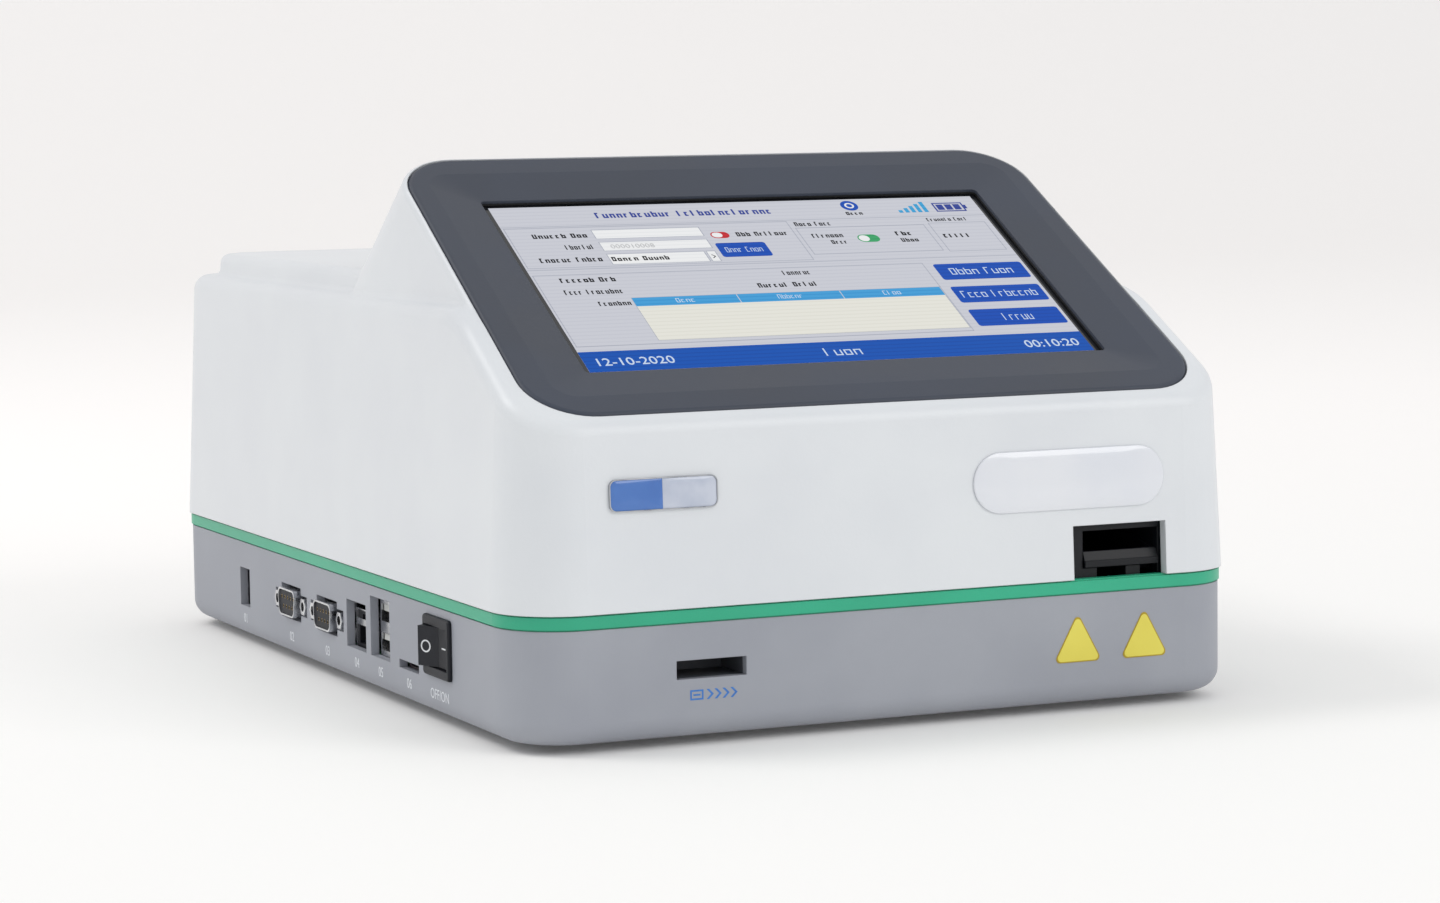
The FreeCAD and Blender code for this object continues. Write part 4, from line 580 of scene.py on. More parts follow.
def card_sign():
    """An outlined card with its strip, then four arrowheads that point along the wall."""
    x0, z0, x1, z1 = CARD_SIGN
    line = SIGN_LINE
    middle = (z0 + z1) / 2
    half = (z1 - z0) / 2
    place = on_front("base_shell")
    outer = oblong(x0, z0, x1, z1)
    inner = oblong(x0 + line, z0 + line, x1 - line, z1 - line)
    strip = oblong(x0 + 2 * line, middle - line / 2, x1 - 2 * line, middle + line / 2)
    forms = [hoop(in_mm(outer), in_mm(inner), -FILM, FILM, place), prism(in_mm(strip), -FILM, FILM, place)]
    for i in range(4):
        x = x1 + ARROW_START + i * ARROW_STEP
        wide = x + ARROW_WIDTH
        head = [(x, z0), (wide, z0), (wide + half, middle), (wide, z1), (x, z1), (x + half, middle)]
        forms.append(prism(in_mm(head), -FILM, FILM, place))
    return piece("card_sign", forms, blue_ink, "housing")


card_sign()


# ------------------------------------------------------------------ card tray and its drive
# The tray slides in a guide, both moulded in charcoal ABS, on a rack that a
# nylon pinion drives from a geared motor in a rolled steel can.

CHARCOAL = "14161C"
CHARCOAL_SHADE = "101217"
STEEL = "B9BBBD"
STEEL_SHADE = "A4A7AA"
GROUND_STEEL = "C8CACC"

charcoal_abs = dull(moulded("charcoal_abs_moulded", CHARCOAL, CHARCOAL_SHADE, 0.42, 0.9, 0.04, 0.3), 0.3)
dress(charcoal_abs, "card_tray", "tray_guide")
dress(white_nylon, "drive_pinion")
rolled_steel = plated("steel_rolled_tinned", STEEL, STEEL_SHADE, 0.38, 1.2)
ground_steel = plated("steel_ground", GROUND_STEEL, STEEL, 0.16, 0.3)
dress(rolled_steel, "tray_motor", "lcd_module", "display_bracket")
dress(ground_steel, "motor_shaft", "lid_pin", "platen_shaft", "tear_bar")


# ------------------------------------------------------------------ reading head
# The optic block and its light barrel are turned and milled aluminium,
# black-anodised so that they scatter no light, round one glass lens.

ANODISED_BLACK = "1E1F22"
ANODISED_SHADE = "28292D"
GLASS_TINT = "DCE6EA"
GLASS_SHADE = "CFDDE3"

anodised = moulded("aluminium_black_anodised", ANODISED_BLACK, ANODISED_SHADE, 0.34, 0.4, 0.02, 0.15)
lens_glass, lens_tree, lens_shader, lens_place = start_material("glass_ground_polished", 0.03)
lens_shader.inputs["Transmission Weight"].default_value = 0.9
lens_shader.inputs["IOR"].default_value = 1.52
vary_colour(lens_tree, lens_shader, lens_place, GLASS_TINT, GLASS_SHADE, 3)
dress(anodised, "optic_head", "light_barrel", "print_head")
dress(lens_glass, "optic_lens")


# ------------------------------------------------------------------ printer
# A drop-in thermal printer on the rear deck: a moulded frame with a hinged
# lid, a rubber platen in the lid, a ceramic heater strip and a steel tear bar.

PRINTER_GREY = "D2D5D9"
PRINTER_GREY_SHADE = "CBCED3"
BUTTON_GREY = "5C6067"
BUTTON_GREY_SHADE = "555960"
CERAMIC = "D9D4C8"
CERAMIC_SHADE = "CEC8BB"

printer_abs = moulded("pale_grey_abs_moulded", PRINTER_GREY, PRINTER_GREY_SHADE, 0.45, 0.9, 0.05, 0.3)
button_abs = moulded("slate_abs_moulded", BUTTON_GREY, BUTTON_GREY_SHADE, 0.42, 0.8, 0.04, 0.3)
ceramic = moulded("ceramic_glazed", CERAMIC, CERAMIC_SHADE, 0.2, 0.5, 0.01, 0.1)
dress(printer_abs, "printer_frame", "printer_lid")
dress(button_abs, "release_button")
dress(rubber, "platen_roller")
dress(ceramic, "heater_strip")


# ------------------------------------------------------------------ top cover
# The upper half of the casing, one deep ABS moulding in cool white with a
# satin grain. It carries the sloping display face and the rear deck.

COVER_WHITE = "E2E5E8"
COVER_WHITE_SHADE = "DDE0E4"

cover_abs = moulded("white_abs_spark_eroded", COVER_WHITE, COVER_WHITE_SHADE, 0.34, 0.9, 0.04, 0.4)
dress(cover_abs, "top_cover")


# ------------------------------------------------------------------ display surround
# A bezel moulded in ABS and finished in soft slate paint, seated on a foam
# gasket. The paint is satin and hides the grain below it.

SLATE = "3E4451"
SLATE_SHADE = "3A3F4A"
FOAM_BLACK = "141415"
FOAM_GREY = "222224"

slate_paint = dull(moulded("slate_soft_touch_paint", SLATE, SLATE_SHADE, 0.46, 1.1, 0.03, 0.4), 0.35)
foam = moulded("foam_closed_cell", FOAM_BLACK, FOAM_GREY, 0.9, 0.6, 0.15, 0.1)
dress(slate_paint, "display_bezel")
dress(foam, "display_gasket")


# ------------------------------------------------------------------ touch panel
# Chemically strengthened glass over the display, printed black round its edge.
# It is polished, so it carries a sharp reflection over the lit picture.

PANEL_BLACK = "0E0F12"
PANEL_EDGE = "15171B"

panel_glass, panel_tree, panel_shader, panel_place = start_material("glass_strengthened_printed", 0.08)
vary_colour(panel_tree, panel_shader, panel_place, PANEL_BLACK, PANEL_EDGE, 20)
panel_shader.inputs["IOR"].default_value = 1.5
dress(panel_glass, "touch_panel")


# ------------------------------------------------------------------ lit picture under the glass
# A 7 inch liquid crystal panel. Each colour is lit from behind, with the faint
# weave of its pixel rows, under the gloss of the glass.

SCREEN_WIDTH = 154.1
SCREEN_HEIGHT = 85.9
SCREEN_TILT = math.radians(29.44)
# the middle of the picture's lower edge, on the glass
SCREEN_FOOT = Vector((0, -0.1305, 0.09835))
LAYER = 0.03
LINE = 0.28
# gives rows 1.6 mm apart: the real ones are too fine to show
ROW_SCALE = 199.9
PICTURE_LEVEL = 0.9
UNLIT = "08090B"


def on_display(across, down, height):
    """Lays a form on the glass: millimetres from the picture's top left corner, height off the glass."""
    up = SCREEN_HEIGHT - down
    lean_y = up * math.cos(SCREEN_TILT) - height * math.sin(SCREEN_TILT)
    lean_z = up * math.sin(SCREEN_TILT) + height * math.cos(SCREEN_TILT)
    return SCREEN_FOOT + Vector((across - SCREEN_WIDTH / 2, lean_y, lean_z)) * MM


def lit(name, colour, shade):
    """One colour of the picture: its own light, in fine rows, behind polished glass."""
    material, tree, shader, place = start_material(name, 0.12)
    rows = add(
        tree,
        "ShaderNodeTexWave",
        {"bands_direction": "Y"},
        {"Vector": place, "Scale": ROW_SCALE, "Distortion": 0.3},
    )
    ramp = add(tree, "ShaderNodeValToRGB", {}, {"Fac": rows.outputs["Fac"]})
    ramp.color_ramp.elements[0].color = linear(shade)
    ramp.color_ramp.elements[1].color = linear(colour)
    ramp.color_ramp.elements[1].position = 0.3
    tree.links.new(ramp.outputs["Color"], shader.inputs["Emission Color"])
    shader.inputs["Emission Strength"].default_value = PICTURE_LEVEL
    shader.inputs["Specular IOR Level"].default_value = 0.05
    shader.inputs["Base Color"].default_value = linear(UNLIT)
    return material


def shown(name, outlines, layer, material):
    """Outlines on the glass as one piece, in one of the picture's layers."""
    forms = [prism(outline, layer * LAYER, (layer + 1) * LAYER, on_display) for outline in outlines]
    return piece(name, forms, material, "housing")


def border(x0, y0, x1, y1, line=LINE):
    return [
        oblong(x0, y0, x1, y0 + line),
        oblong(x0, y1 - line, x1, y1),
        oblong(x0, y0 + line, x0 + line, y1 - line),
        oblong(x1 - line, y0 + line, x1, y1 - line),
    ]


def softened(x0, y0, x1, y1, radius, steps=5):
    """A rectangle with round corners."""
    outline = []
    for cx, cy, turn in ((x1, y1, 0), (x0, y1, 1), (x0, y0, 2), (x1, y0, 3)):
        inner_x = cx - math.copysign(radius, cx - (x0 + x1) / 2)
        inner_y = cy - math.copysign(radius, cy - (y0 + y1) / 2)
        for i in range(steps + 1):
            angle = (turn + i / steps) * math.pi / 2
            outline.append((inner_x + radius * math.cos(angle), inner_y + radius * math.sin(angle)))
    return outline


picture_grey = lit("picture_pale_grey", "D0D2DB", "CACCD6")
picture_cream = lit("picture_cream", "ECEBE2", "E5E4DA")
picture_white = lit("picture_white", "F4F5F6", "ECEEF0")
picture_pale_blue = lit("picture_pale_blue", "D2E2F6", "C6D9F1")
picture_line = lit("picture_line_grey", "B4B8C4", "A9ADBA")
picture_black = lit("picture_black", "0C0D12", "08090D")
picture_navy = lit("picture_navy", "34479C", "2B3D8E")
picture_blue = lit("picture_button_blue", "0B4FBA", "0947AB")
picture_bar_blue = lit("picture_bar_blue", "0A55B8", "084CAA")
picture_sky = lit("picture_sky_blue", "45A3DE", "3796D4")
picture_faint = lit("picture_faint_grey", "C9CACB", "BFC0C2")
picture_red = lit("picture_red", "CC2B33", "BD222B")
picture_green = lit("picture_green", "3DA86C", "339C60")
picture_cyan = lit("picture_cyan", "3FA7DB", "3299D0")

shown("picture_ground", [oblong(0, 0, SCREEN_WIDTH, SCREEN_HEIGHT)], 0, picture_grey)

# boxes in the picture: left, top, right and foot in millimetres from its top left corner
GROUP_FRAMES = (
    (0.6, 11.4, 88.6, 33.0),
    (89.8, 15.3, 131.7, 30.2),
    (133.3, 14.6, 152.3, 30.8),
    (0.6, 36.6, 121.6, 73.4),
)
group_lines = [side for frame_box in GROUP_FRAMES for side in border(*frame_box)]
RULES = ((0, 10.7, SCREEN_WIDTH, 11.0), (0, 33.8, SCREEN_WIDTH, 34.1))
group_lines += [oblong(*rule) for rule in RULES]
shown("picture_group_lines", group_lines, 1, picture_line)

# three fields and the button that drops the third one's list
ENTRY_FIELDS = (
    (26.4, 13.2, 60.0, 18.4),
    (26.4, 19.9, 60.0, 25.0),
    (26.4, 26.4, 56.6, 32.3),
    (57.0, 26.4, 60.0, 32.3),
)
entry_borders = [side for field in ENTRY_FIELDS for side in border(*field)]
shown("picture_entry_fields", [oblong(*field) for field in ENTRY_FIELDS], 1, picture_white)
shown("picture_entry_borders", entry_borders, 2, picture_line)
DROP_ARROW = [(57.9, 28.5), (58.3, 28.5), (59.2, 29.4), (58.3, 30.3), (57.9, 30.3), (58.8, 29.4)]
shown("picture_drop_arrow", [DROP_ARROW], 2, picture_black)

TABLE = (25.3, 49.7, 121.2, 71.8)
TABLE_HEAD = 54.2
TABLE_SPLITS = (57.2, 89.2)
TABLE_LINE = 0.2
CELL_GAP = 0.15
shown("picture_table_body", [oblong(TABLE[0], TABLE_HEAD, TABLE[2], TABLE[3])], 1, picture_cream)
shown("picture_table_border", border(*TABLE, TABLE_LINE), 2, picture_line)
head_edges = (TABLE[0],) + TABLE_SPLITS + (TABLE[2],)
head_cells = [
    oblong(x0 + CELL_GAP, TABLE[1] + TABLE_LINE, x1 - CELL_GAP, TABLE_HEAD)
    for x0, x1 in zip(head_edges, head_edges[1:])
]
shown("picture_table_head", head_cells, 3, picture_sky)

BUTTONS = (
    (61.4, 22.4, 77.0, 30.0),
    (124.4, 37.6, 153.1, 46.2),
    (124.4, 50.0, 153.1, 58.6),
    (124.4, 62.4, 153.1, 71.1),
)
BUTTON_CORNER = 0.9
BAR_TOP = 75.9
shown("picture_buttons", [softened(*button, BUTTON_CORNER) for button in BUTTONS], 1, picture_blue)
shown("picture_bottom_bar", [oblong(0, BAR_TOP, SCREEN_WIDTH, SCREEN_HEIGHT)], 1, picture_bar_blue)


# ------------------------------------------------------------------ switches and signs in the picture
# Two slide switches, a round button and plain signal and battery signs, in
# the same light as the rest of the picture.

RED_SWITCH = (62.0, 16.3, 67.8, 19.7)
RED_SPLIT = 3.6
GREEN_SWITCH = (107.2, 20.1, 114.2, 24.2)
GREEN_SPLIT = 3.7
KNOB_INSET = 0.4
# keeps a pill's two round ends from meeting
END_GAP = 0.05
ROUND_BUTTON = (112.3, 3.7)
DISC_RADIUS = 2.75
RING_OUTER = 1.5
RING_INNER = 0.95
SIGNAL_FOOT = 8.4
SIGNAL_LEFT = 127.0
SIGNAL_STEP = 2.1
SIGNAL_WIDTH = 1.3
SIGNAL_FIRST = 1.4
SIGNAL_GROWTH = 1.1
BATTERY = (139.4, 3.4, 149.4, 8.4)
BATTERY_LINE = 0.5
BATTERY_TIP = (149.4, 4.9, 150.2, 6.9)
CELL = (140.4, 4.4, 142.6, 7.4)
CELL_STEP = 2.8


def slide_switch(name, x0, y0, x1, y1, split, on_colour):
    """A pill with a white half and a coloured half."""
    radius = (y1 - y0) / 2 - END_GAP
    shown(name + "_pill", [softened(x0, y0, x1, y1, radius)], 1, on_colour)
    knob = softened(x0 + KNOB_INSET, y0 + KNOB_INSET, x0 + split, y1 - KNOB_INSET, radius - KNOB_INSET)
    shown(name + "_knob", [knob], 2, picture_white)


slide_switch("picture_red_switch", *RED_SWITCH, RED_SPLIT, picture_red)
slide_switch("picture_green_switch", *GREEN_SWITCH, GREEN_SPLIT, picture_green)
disc = circle(*ROUND_BUTTON, DISC_RADIUS, 32)
shown("picture_round_button", [disc], 1, picture_blue)
ring_edges = (circle(*ROUND_BUTTON, RING_OUTER), circle(*ROUND_BUTTON, RING_INNER))
ring = hoop(*ring_edges, 2 * LAYER, 3 * LAYER, on_display)
piece("picture_round_ring", [ring], picture_white, "housing")
signal_bars = []
for i in range(5):
    bar_left = SIGNAL_LEFT + i * SIGNAL_STEP
    bar_top = SIGNAL_FOOT - SIGNAL_FIRST - i * SIGNAL_GROWTH
    signal_bars.append(oblong(bar_left, bar_top, bar_left + SIGNAL_WIDTH, SIGNAL_FOOT))
shown("picture_signal_sign", signal_bars, 1, picture_cyan)
battery_bars = border(*BATTERY, BATTERY_LINE) + [oblong(*BATTERY_TIP)]
for i in range(3):
    shift = i * CELL_STEP
    battery_bars.append(oblong(CELL[0] + shift, CELL[1], CELL[2] + shift, CELL[3]))
shown("picture_battery_sign", battery_bars, 1, picture_navy)


# ------------------------------------------------------------------ words and figures in the picture
# Words are greeked: bars with a letter's weight and rhythm that spell nothing.
# Only the date, the time and a serial entry are real figures.

LETTER_KINDS = (
    ("left", "right", "top", "foot"),
    ("left", "right", "top"),
    ("left", "right", "foot"),
    ("left", "top"),
    ("left", "right", "top", "foot", "rise"),
    ("left", "top", "foot"),
    ("left", "rise"),
)
SMALL_SHARE = 0.74
LABEL_STROKE = 0.28
PALE_STROKE = 0.15
LETTER_SHARE = 0.76
SPACE_SHARE = 0.7
BAR_FIGURE = 3.7
BAR_LINE = 83.0
ENTRY_FIGURE = 2.2

letters = random.Random(41)


def letter_bars(x0, x1, foot, small, tall, stroke):
    """The bars of one greeked letter."""
    bars = {
        "left": oblong(x0, foot - small, x0 + stroke, foot),
        "right": oblong(x1 - stroke, foot - small, x1, foot),
        "top": oblong(x0 + stroke, foot - small, x1 - stroke, foot - small + stroke),
        "foot": oblong(x0 + stroke, foot - stroke, x1 - stroke, foot),
        "rise": oblong(x0, foot - tall, x0 + stroke, foot - small),
    }
    return [bars[part] for part in letters.choice(LETTER_KINDS)]


def words(counts, x0, top, x1, foot, stroke=LABEL_STROKE):
    """Greeked words of the given letter counts that fill a line from x0 to x1."""
    pitch = (x1 - x0) / (sum(counts) + SPACE_SHARE * (len(counts) - 1))
    bars = []
    x = x0
    for count in counts:
        for i in range(count):
            tall = foot - top
            small = tall if i == 0 else tall * SMALL_SHARE
            bars += letter_bars(x, x + LETTER_SHARE * pitch, foot, small, tall, stroke * pitch)
            x += pitch
        x += SPACE_SHARE * pitch
    return bars


title = words((11, 14), 30.8, 4.0, 86.7, 7.0)
shown("picture_title", title, 2, picture_navy)
# letter counts of a line's words, then the line's left, top, right and foot
label_lines = (
    ((6, 3), 7.8, 15.0, 24.7, 17.3),
    ((7,), 15.6, 21.2, 24.7, 23.6),
    ((6, 5), 5.6, 27.8, 24.7, 30.2),
    ((5, 5), 27.2, 28.2, 45.0, 30.4),
    ((3, 7), 70.0, 16.9, 86.7, 19.1),
    ((4, 4), 90.4, 12.3, 102.4, 14.5),
    ((7,), 93.3, 19.0, 103.4, 21.2),
    ((4,), 98.0, 22.8, 103.4, 24.8),
    ((3,), 120.3, 19.0, 126.0, 21.2),
    ((4,), 120.6, 22.8, 126.4, 24.8),
    ((7, 4), 133.8, 12.0, 147.4, 13.8),
    ((5,), 135.2, 21.2, 144.6, 23.2),
    ((4,), 109.4, 7.3, 115.0, 9.0),
    ((6, 3), 7.8, 38.6, 24.7, 40.9),
    ((7,), 75.8, 38.4, 84.7, 40.7),
    ((4, 8), 6.9, 44.8, 24.7, 47.2),
    ((6, 5), 65.6, 44.6, 84.7, 46.9),
    ((7,), 14.8, 51.2, 24.7, 53.4),
)
shown("picture_labels", [bar for line in label_lines for bar in words(*line)], 3, picture_black)
pale_lines = (
    ((4, 4), 63.4, 25.0, 75.2, 27.6),
    ((4, 4), 128.3, 40.2, 149.1, 43.6),
    ((4, 7), 126.3, 52.6, 151.1, 56.0),
    ((5,), 133.9, 65.0, 143.7, 68.6),
    ((4,), 71.4, 79.2, 83.3, 82.9),
    ((4,), 38.1, 50.9, 44.1, 53.0),
    ((6,), 69.2, 50.9, 77.2, 53.0),
    ((4,), 102.2, 50.9, 108.0, 53.0),
)
pale_bars = [bar for line in pale_lines for bar in words(*line, PALE_STROKE)]
shown("picture_pale_words", pale_bars, 4, picture_pale_blue)


def on_picture(layer):
    """Lays figures on the glass, with their height turned from metres to the picture's layers."""
    base = layer * LAYER
    return lambda across, up, lift: on_display(across / MM, SCREEN_HEIGHT - up / MM, lift / MM + base)


def picture_figures(name, text, height, across, foot, material):
    """Figures in the top layer of the picture, centred across and standing on a line down from its top."""
    line = (SCREEN_HEIGHT - foot) * MM
    return figures(name, text, height * MM, across * MM, line, 0, on_picture(4), material)


picture_figures("picture_date", "12-10-2020", BAR_FIGURE, 14.6, BAR_LINE, picture_pale_blue)
picture_figures("picture_time", "00:10:20", BAR_FIGURE, 142.5, BAR_LINE, picture_pale_blue)
picture_figures("picture_serial_entry", "000010008", ENTRY_FIGURE, 36.0, 23.6, picture_faint)


# ------------------------------------------------------------------ badges on the front
# Cast resin badges in plated rims, left bare: a small split one in blue and
# silver at the left, and a long pale one over the card slot.

BADGE_BLUE = "3F73BE"
BADGE_BLUE_SHADE = "3368B6"
BADGE_SILVER = "C6CCDA"
BADGE_SILVER_SHADE = "B4BCCE"
RESIN_PALE = "E4E6EB"
RESIN_PALE_SHADE = "DEE1E8"
SPLIT_BADGE = (-83.4, 63.7, -52.5, 72.3)
SPLIT_AT = -68.3
SPLIT_CORNER = 2.0
RIM_WIDTH = 0.28
RIM_HEIGHT = 0.8 * MM
FACE_EDGE = 0.55 * MM
FACE_CROWN = 0.3 * MM
LONG_BADGE = (23.6, 57.0, 83.2, 73.6)
LONG_EDGE = 0.5 * MM
LONG_CROWN = 0.6 * MM
CROWN_SHARES = (1.0, 0.985, 0.955, 0.9, 0.8, 0.6, 0.3)


def cast_resin(name, colour, shade, patch_mm):
    """Cast polyurethane: a deep, wet gloss over a printed ground."""
    material, tree, shader, place = start_material(name, 0.16)
    vary_colour(tree, shader, place, colour, shade, patch_mm)
    shader.inputs["IOR"].default_value = 1.5
    shader.inputs["Coat Weight"].default_value = 0.8
    shader.inputs["Coat Roughness"].default_value = 0.04
    return material


def pillow(outline, rim, crown, place):
    """A closed form that rises from its rim to a crowned top, as a poured drop of resin does."""
    count = len(outline)
    centre_x = sum(x for x, _ in outline) / count
    centre_y = sum(y for _, y in outline) / count
    points = [place(x, y, -FILM) for x, y in outline]
    for share in CROWN_SHARES:
        height = rim + crown * (1 - share ** 6)
        for x, y in outline:
            points.append(place(centre_x + (x - centre_x) * share, centre_y + (y - centre_y) * share, height))
    faces = [tuple(range(count))]
    for ring_start in range(0, count * len(CROWN_SHARES), count):
        for i in range(count):
            j = (i + 1) % count
            faces.append((ring_start + i, ring_start + j, ring_start + count + j, ring_start + count + i))
    faces.append(tuple(range(count * len(CROWN_SHARES), count * (len(CROWN_SHARES) + 1))))
    return points, faces


resin_blue = cast_resin("resin_cast_blue", BADGE_BLUE, BADGE_BLUE_SHADE, 12)
resin_silver = cast_resin("resin_cast_silver", BADGE_SILVER, BADGE_SILVER_SHADE, 8)
resin_pale = cast_resin("resin_cast_pale", RESIN_PALE, RESIN_PALE_SHADE, 30)
cover_front = on_front("top_cover")


def keep_left(outline, edge):
    """The part of an outline to the left of an upright edge."""
    return [(min(x, edge), y) for x, y in outline]


def keep_right(outline, edge):
    """The part of an outline to the right of an upright edge."""
    return [(max(x, edge), y) for x, y in outline]


split_outer = softened(*SPLIT_BADGE, SPLIT_CORNER)
split_inner = softened(
    SPLIT_BADGE[0] + RIM_WIDTH,
    SPLIT_BADGE[1] + RIM_WIDTH,
    SPLIT_BADGE[2] - RIM_WIDTH,
    SPLIT_BADGE[3] - RIM_WIDTH,
    SPLIT_CORNER - RIM_WIDTH,
)
rim_form = hoop(in_mm(split_outer), in_mm(split_inner), -FILM, RIM_HEIGHT, cover_front)
piece("split_badge_rim", [rim_form], zinc_steel, "housing")
blue_face = pillow(in_mm(keep_left(split_inner, SPLIT_AT)), FACE_EDGE, FACE_CROWN, cover_front)
piece("split_badge_blue", [blue_face], resin_blue, "housing").data.shade_smooth()
silver_face = pillow(in_mm(keep_right(split_inner, SPLIT_AT)), FACE_EDGE, FACE_CROWN, cover_front)
piece("split_badge_silver", [silver_face], resin_silver, "housing").data.shade_smooth()
long_corner = (LONG_BADGE[3] - LONG_BADGE[1]) / 2 - END_GAP
long_face = pillow(in_mm(softened(*LONG_BADGE, long_corner, 12)), LONG_EDGE, LONG_CROWN, cover_front)
piece("long_badge", [long_face], resin_pale, "housing").data.shade_smooth()


# ------------------------------------------------------------------ stickers on the base
# Two plain yellow vinyl stickers, die-cut as triangles with round corners. The
# face is satin, and the cut edge shows a shade darker.

VINYL_YELLOW = "E8DC5E"
VINYL_YELLOW_SHADE = "E0D252"
VINYL_EDGE = "B79C1E"
VINYL_EDGE_SHADE = "A98F18"
STICKER_LEFTS = (48.0, 69.1)
STICKER_WIDTH = 15.3
STICKER_FOOT = 14.4
STICKER_TOP = 28.2
STICKER_ROUND = 1.2
STICKER_SHARE = 0.93
BACK_HEIGHT = 0.12 * MM
FACE_HEIGHT = 0.18 * MM


def triangle(x0, width, foot, top, radius, share):
    """A triangle with round corners, drawn in towards its middle by the given share."""
    corners = [(x0, foot), (x0 + width, foot), (x0 + width / 2, top)]
    middle_x = sum(x for x, _ in corners) / 3
    middle_y = sum(y for _, y in corners) / 3
    outline = []
    for i, (x, y) in enumerate(corners):
        to_next = (Vector(corners[(i + 1) % 3]) - Vector((x, y))).normalized()
        to_last = (Vector(corners[i - 1]) - Vector((x, y))).normalized()
        half = to_next.angle(to_last) / 2
        centre = Vector((x, y)) + (to_next + to_last).normalized() * radius / math.sin(half)
        start = centre + (Vector((x, y)) - centre).normalized() * radius
        base_angle = math.atan2(start.y - centre.y, start.x - centre.x)
        sweep = math.pi / 2 - half
        for step in range(-3, 4):
            angle = base_angle + sweep * step / 3
            outline.append((centre.x + radius * math.cos(angle), centre.y + radius * math.sin(angle)))
    return [(middle_x + (x - middle_x) * share, middle_y + (y - middle_y) * share) for x, y in outline]


vinyl = moulded("vinyl_yellow_die_cut", VINYL_YELLOW, VINYL_YELLOW_SHADE, 0.4, 0.8, 0.01, 0.05)
vinyl_edge = moulded("vinyl_cut_edge", VINYL_EDGE, VINYL_EDGE_SHADE, 0.5, 0.8, 0.01, 0.05)
base_front = on_front("base_shell")
sticker_backs = []
sticker_faces = []
for left in STICKER_LEFTS:
    outer = triangle(left, STICKER_WIDTH, STICKER_FOOT, STICKER_TOP, STICKER_ROUND, 1.0)
    inner = triangle(left, STICKER_WIDTH, STICKER_FOOT, STICKER_TOP, STICKER_ROUND, STICKER_SHARE)
    sticker_backs.append(prism(in_mm(outer), -FILM, BACK_HEIGHT, base_front))
    sticker_faces.append(prism(in_mm(inner), -FILM, FACE_HEIGHT, base_front))
piece("sticker_backs", sticker_backs, vinyl_edge, "housing")
piece("sticker_faces", sticker_faces, vinyl, "housing")


# ------------------------------------------------------------------ studio
# A pale painted table that sweeps up into a wall behind the reader, under two
# large soft lamps and an even white surround. The paint lifts itself a little
# where it is seen, and more on the wall, and keeps the reader's shadow.

TABLE_WHITE = "FCFBF9"
WALL_WHITE = "FEFBF9"
SWEEP_FRONT = -3.6
SWEEP_BACK = 3.6
SWEEP_RADIUS = 1.2
SWEEP_TOP = 3.6
SWEEP_SIDE = 3.6
SURROUND_SEEN = "EFEFF0"
SURROUND_LEVEL = 0.71
SURROUND_TINT = (0.965, 0.98, 1.0, 1.0)
LAMP_TINT = (1.0, 0.985, 0.96)
LAMP_AIM = Vector((0, 0, 0.08))
KEY_PLACE = Vector((-1.5, 0.7, 2.0))
KEY_SIDE = 0.9
KEY_POWER = 14.5
FILL_PLACE = Vector((1.1, -2.0, 1.3))
FILL_SIDE = 1.4
FILL_POWER = 14.0
TURN_START = -0.3
TURN_END = 0.9
TABLE_LIFT = 0.04
WALL_LIFT = 0.115


def seen_directly(tree):
    """1 where the eye, a mirror or a glass meets the surface, 0 where light does."""
    path = add(tree, "ShaderNodeLightPath", {}, {})
    mirrored = add(
        tree, "ShaderNodeMath", {"operation": "MAXIMUM"},
        {0: path.outputs["Is Camera Ray"], 1: path.outputs["Is Glossy Ray"]},
    )
    through = add(
        tree, "ShaderNodeMath", {"operation": "MAXIMUM"},
        {0: mirrored.outputs["Value"], 1: path.outputs["Is Transmission Ray"]},
    )
    return through.outputs["Value"]


def sweep_profile():
    turns = [math.pi / 2 * i / 12 for i in range(13)]
    centre_y = SWEEP_BACK - SWEEP_RADIUS
    arc = [(centre_y + SWEEP_RADIUS * math.sin(a), SWEEP_RADIUS * (1 - math.cos(a))) for a in turns]
    return [(SWEEP_FRONT, 0.0)] + arc + [(SWEEP_BACK, SWEEP_TOP)]


studio_paint, studio_tree, studio_shader, studio_place = start_material("studio_paint", 0.85)
split = add(studio_tree, "ShaderNodeSeparateXYZ", {}, {"Vector": studio_place})
run = add(
    studio_tree, "ShaderNodeMapRange", {"interpolation_type": "SMOOTHSTEP"},
    {"Value": split.outputs["Y"], "From Min": TURN_START, "From Max": TURN_END},
)
paint_ramp = add(studio_tree, "ShaderNodeValToRGB", {}, {"Fac": run.outputs["Result"]})
paint_ramp.color_ramp.elements[0].color = linear(TABLE_WHITE)
paint_ramp.color_ramp.elements[1].color = linear(WALL_WHITE)
studio_tree.links.new(paint_ramp.outputs["Color"], studio_shader.inputs["Base Color"])
lift_level = add(
    studio_tree, "ShaderNodeMapRange", {},
    {"Value": run.outputs["Result"], "To Min": TABLE_LIFT, "To Max": WALL_LIFT},
)
lift = add(
    studio_tree, "ShaderNodeMath", {"operation": "MULTIPLY"},
    {0: seen_directly(studio_tree), 1: lift_level.outputs["Result"]},
)
studio_shader.inputs["Emission Color"].default_value = linear(TABLE_WHITE)
studio_tree.links.new(lift.outputs["Value"], studio_shader.inputs["Emission Strength"])

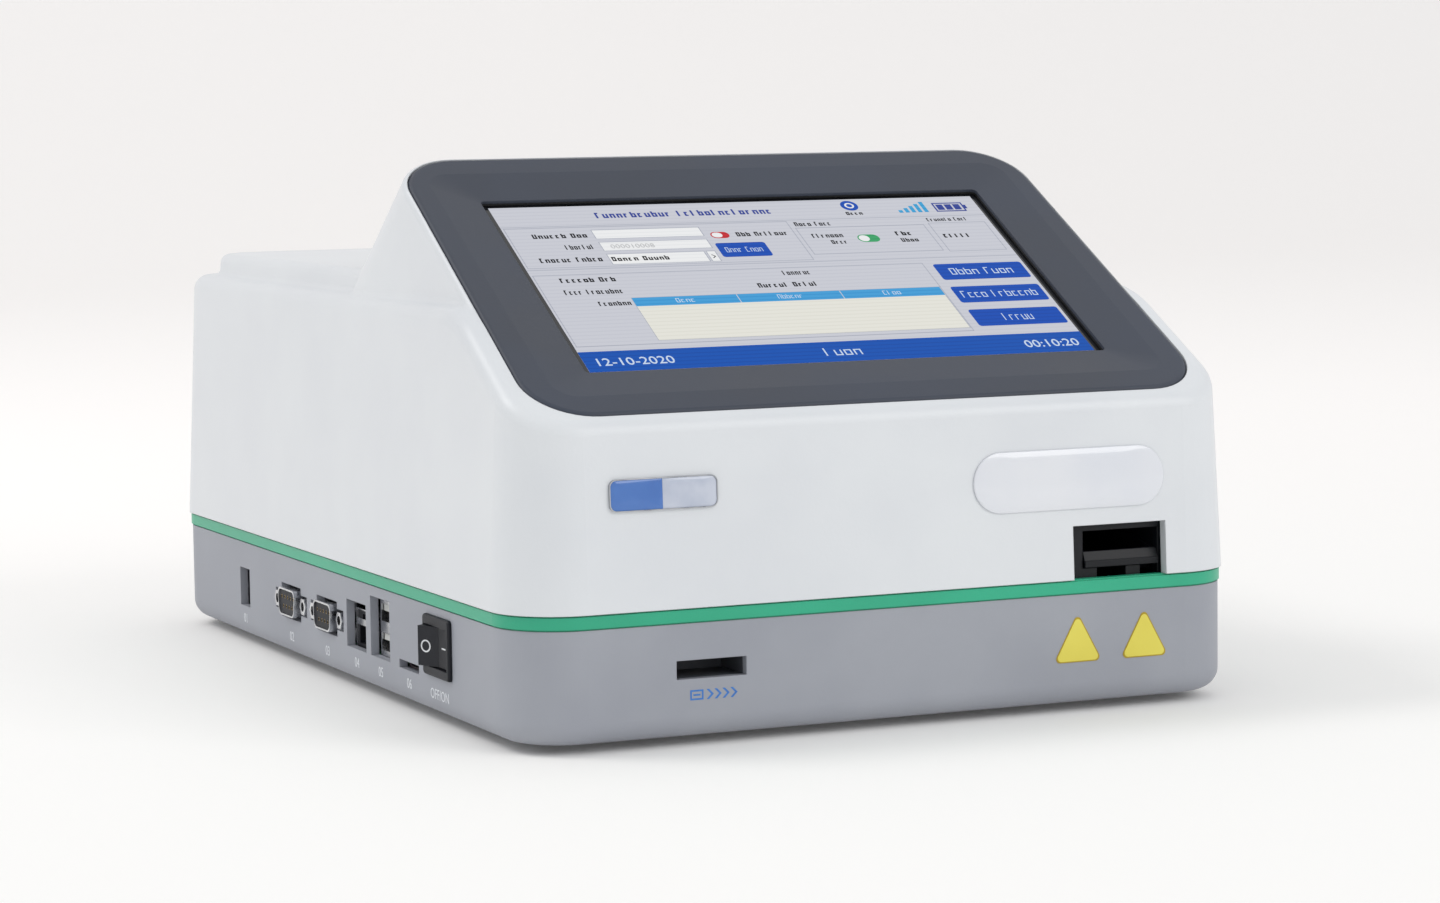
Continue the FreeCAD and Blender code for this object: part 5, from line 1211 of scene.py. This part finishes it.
profile = sweep_profile()
sweep_mesh = bpy.data.meshes.new("studio_sweep")
sweep_points = [(side, y, z) for side in (-SWEEP_SIDE, SWEEP_SIDE) for y, z in profile]
sweep_faces = [(i, i + 1, len(profile) + i + 1, len(profile) + i) for i in range(len(profile) - 1)]
sweep_mesh.from_pydata(sweep_points, [], sweep_faces)
sweep_mesh.flip_normals()
sweep_mesh.shade_smooth()
sweep_mesh.materials.append(studio_paint)
sweep = bpy.data.objects.new("studio_sweep", sweep_mesh)
bpy.context.scene.collection.objects.link(sweep)
sweep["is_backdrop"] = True


def soft_lamp(name, place, side, power):
    """A square soft lamp that faces the reader, a little warmer than the surround."""
    lamp = bpy.data.lights.new(name, "AREA")
    lamp.color = LAMP_TINT
    lamp.shape = "SQUARE"
    lamp.size = side
    lamp.energy = power
    made = bpy.data.objects.new(name, lamp)
    made.location = place
    made.rotation_euler = (LAMP_AIM - place).to_track_quat("-Z", "Y").to_euler()
    bpy.context.scene.collection.objects.link(made)


soft_lamp("key_lamp", KEY_PLACE, KEY_SIDE, KEY_POWER)
soft_lamp("fill_lamp", FILL_PLACE, FILL_SIDE, FILL_POWER)

world = bpy.data.worlds.new("studio_surround")
bpy.context.scene.world = world
world.use_nodes = True
sky = world.node_tree
sky.nodes.clear()
lighting = add(sky, "ShaderNodeBackground", {}, {"Color": SURROUND_TINT, "Strength": SURROUND_LEVEL})
showing = add(sky, "ShaderNodeBackground", {}, {"Color": linear(SURROUND_SEEN), "Strength": 1.0})
blend = add(
    sky, "ShaderNodeMixShader", {},
    {0: seen_directly(sky), 1: lighting.outputs["Background"], 2: showing.outputs["Background"]},
)
add(sky, "ShaderNodeOutputWorld", {}, {"Surface": blend.outputs["Shader"]})


# ------------------------------------------------------------------ camera
# A long lens 1.2 m from the reader, a little above it and to its left.

CAMERA_PLACE = Vector((-0.4547, -1.0624, 0.1695))
CAMERA_AZIMUTH = math.radians(-24.02)
CAMERA_ELEVATION = math.radians(5.27)
CAMERA_ROLL = math.radians(-0.785)
LENS_MM = 94.47

back = Vector(
    (
        math.sin(CAMERA_AZIMUTH) * math.cos(CAMERA_ELEVATION),
        -math.cos(CAMERA_AZIMUTH) * math.cos(CAMERA_ELEVATION),
        math.sin(CAMERA_ELEVATION),
    )
)
right = Vector((0, 0, 1)).cross(back).normalized()
above = back.cross(right)
rolled_right = right * math.cos(CAMERA_ROLL) + above * math.sin(CAMERA_ROLL)
rolled_above = back.cross(rolled_right)
lens = bpy.data.cameras.new("studio_camera")
lens.lens = LENS_MM
lens.sensor_width = 36.0
lens.sensor_fit = "HORIZONTAL"
camera = bpy.data.objects.new("studio_camera", lens)
turned = Matrix((rolled_right, rolled_above, back)).transposed().to_4x4()
camera.matrix_world = Matrix.Translation(CAMERA_PLACE) @ turned
bpy.context.scene.collection.objects.link(camera)
bpy.context.scene.camera = camera
bpy.context.scene.view_settings.view_transform = "Standard"



def corners(box):
    return [[round(value, 5) for value in corner] for corner in box]


{"cad": corners(cad_box), "visual": corners(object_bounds())}
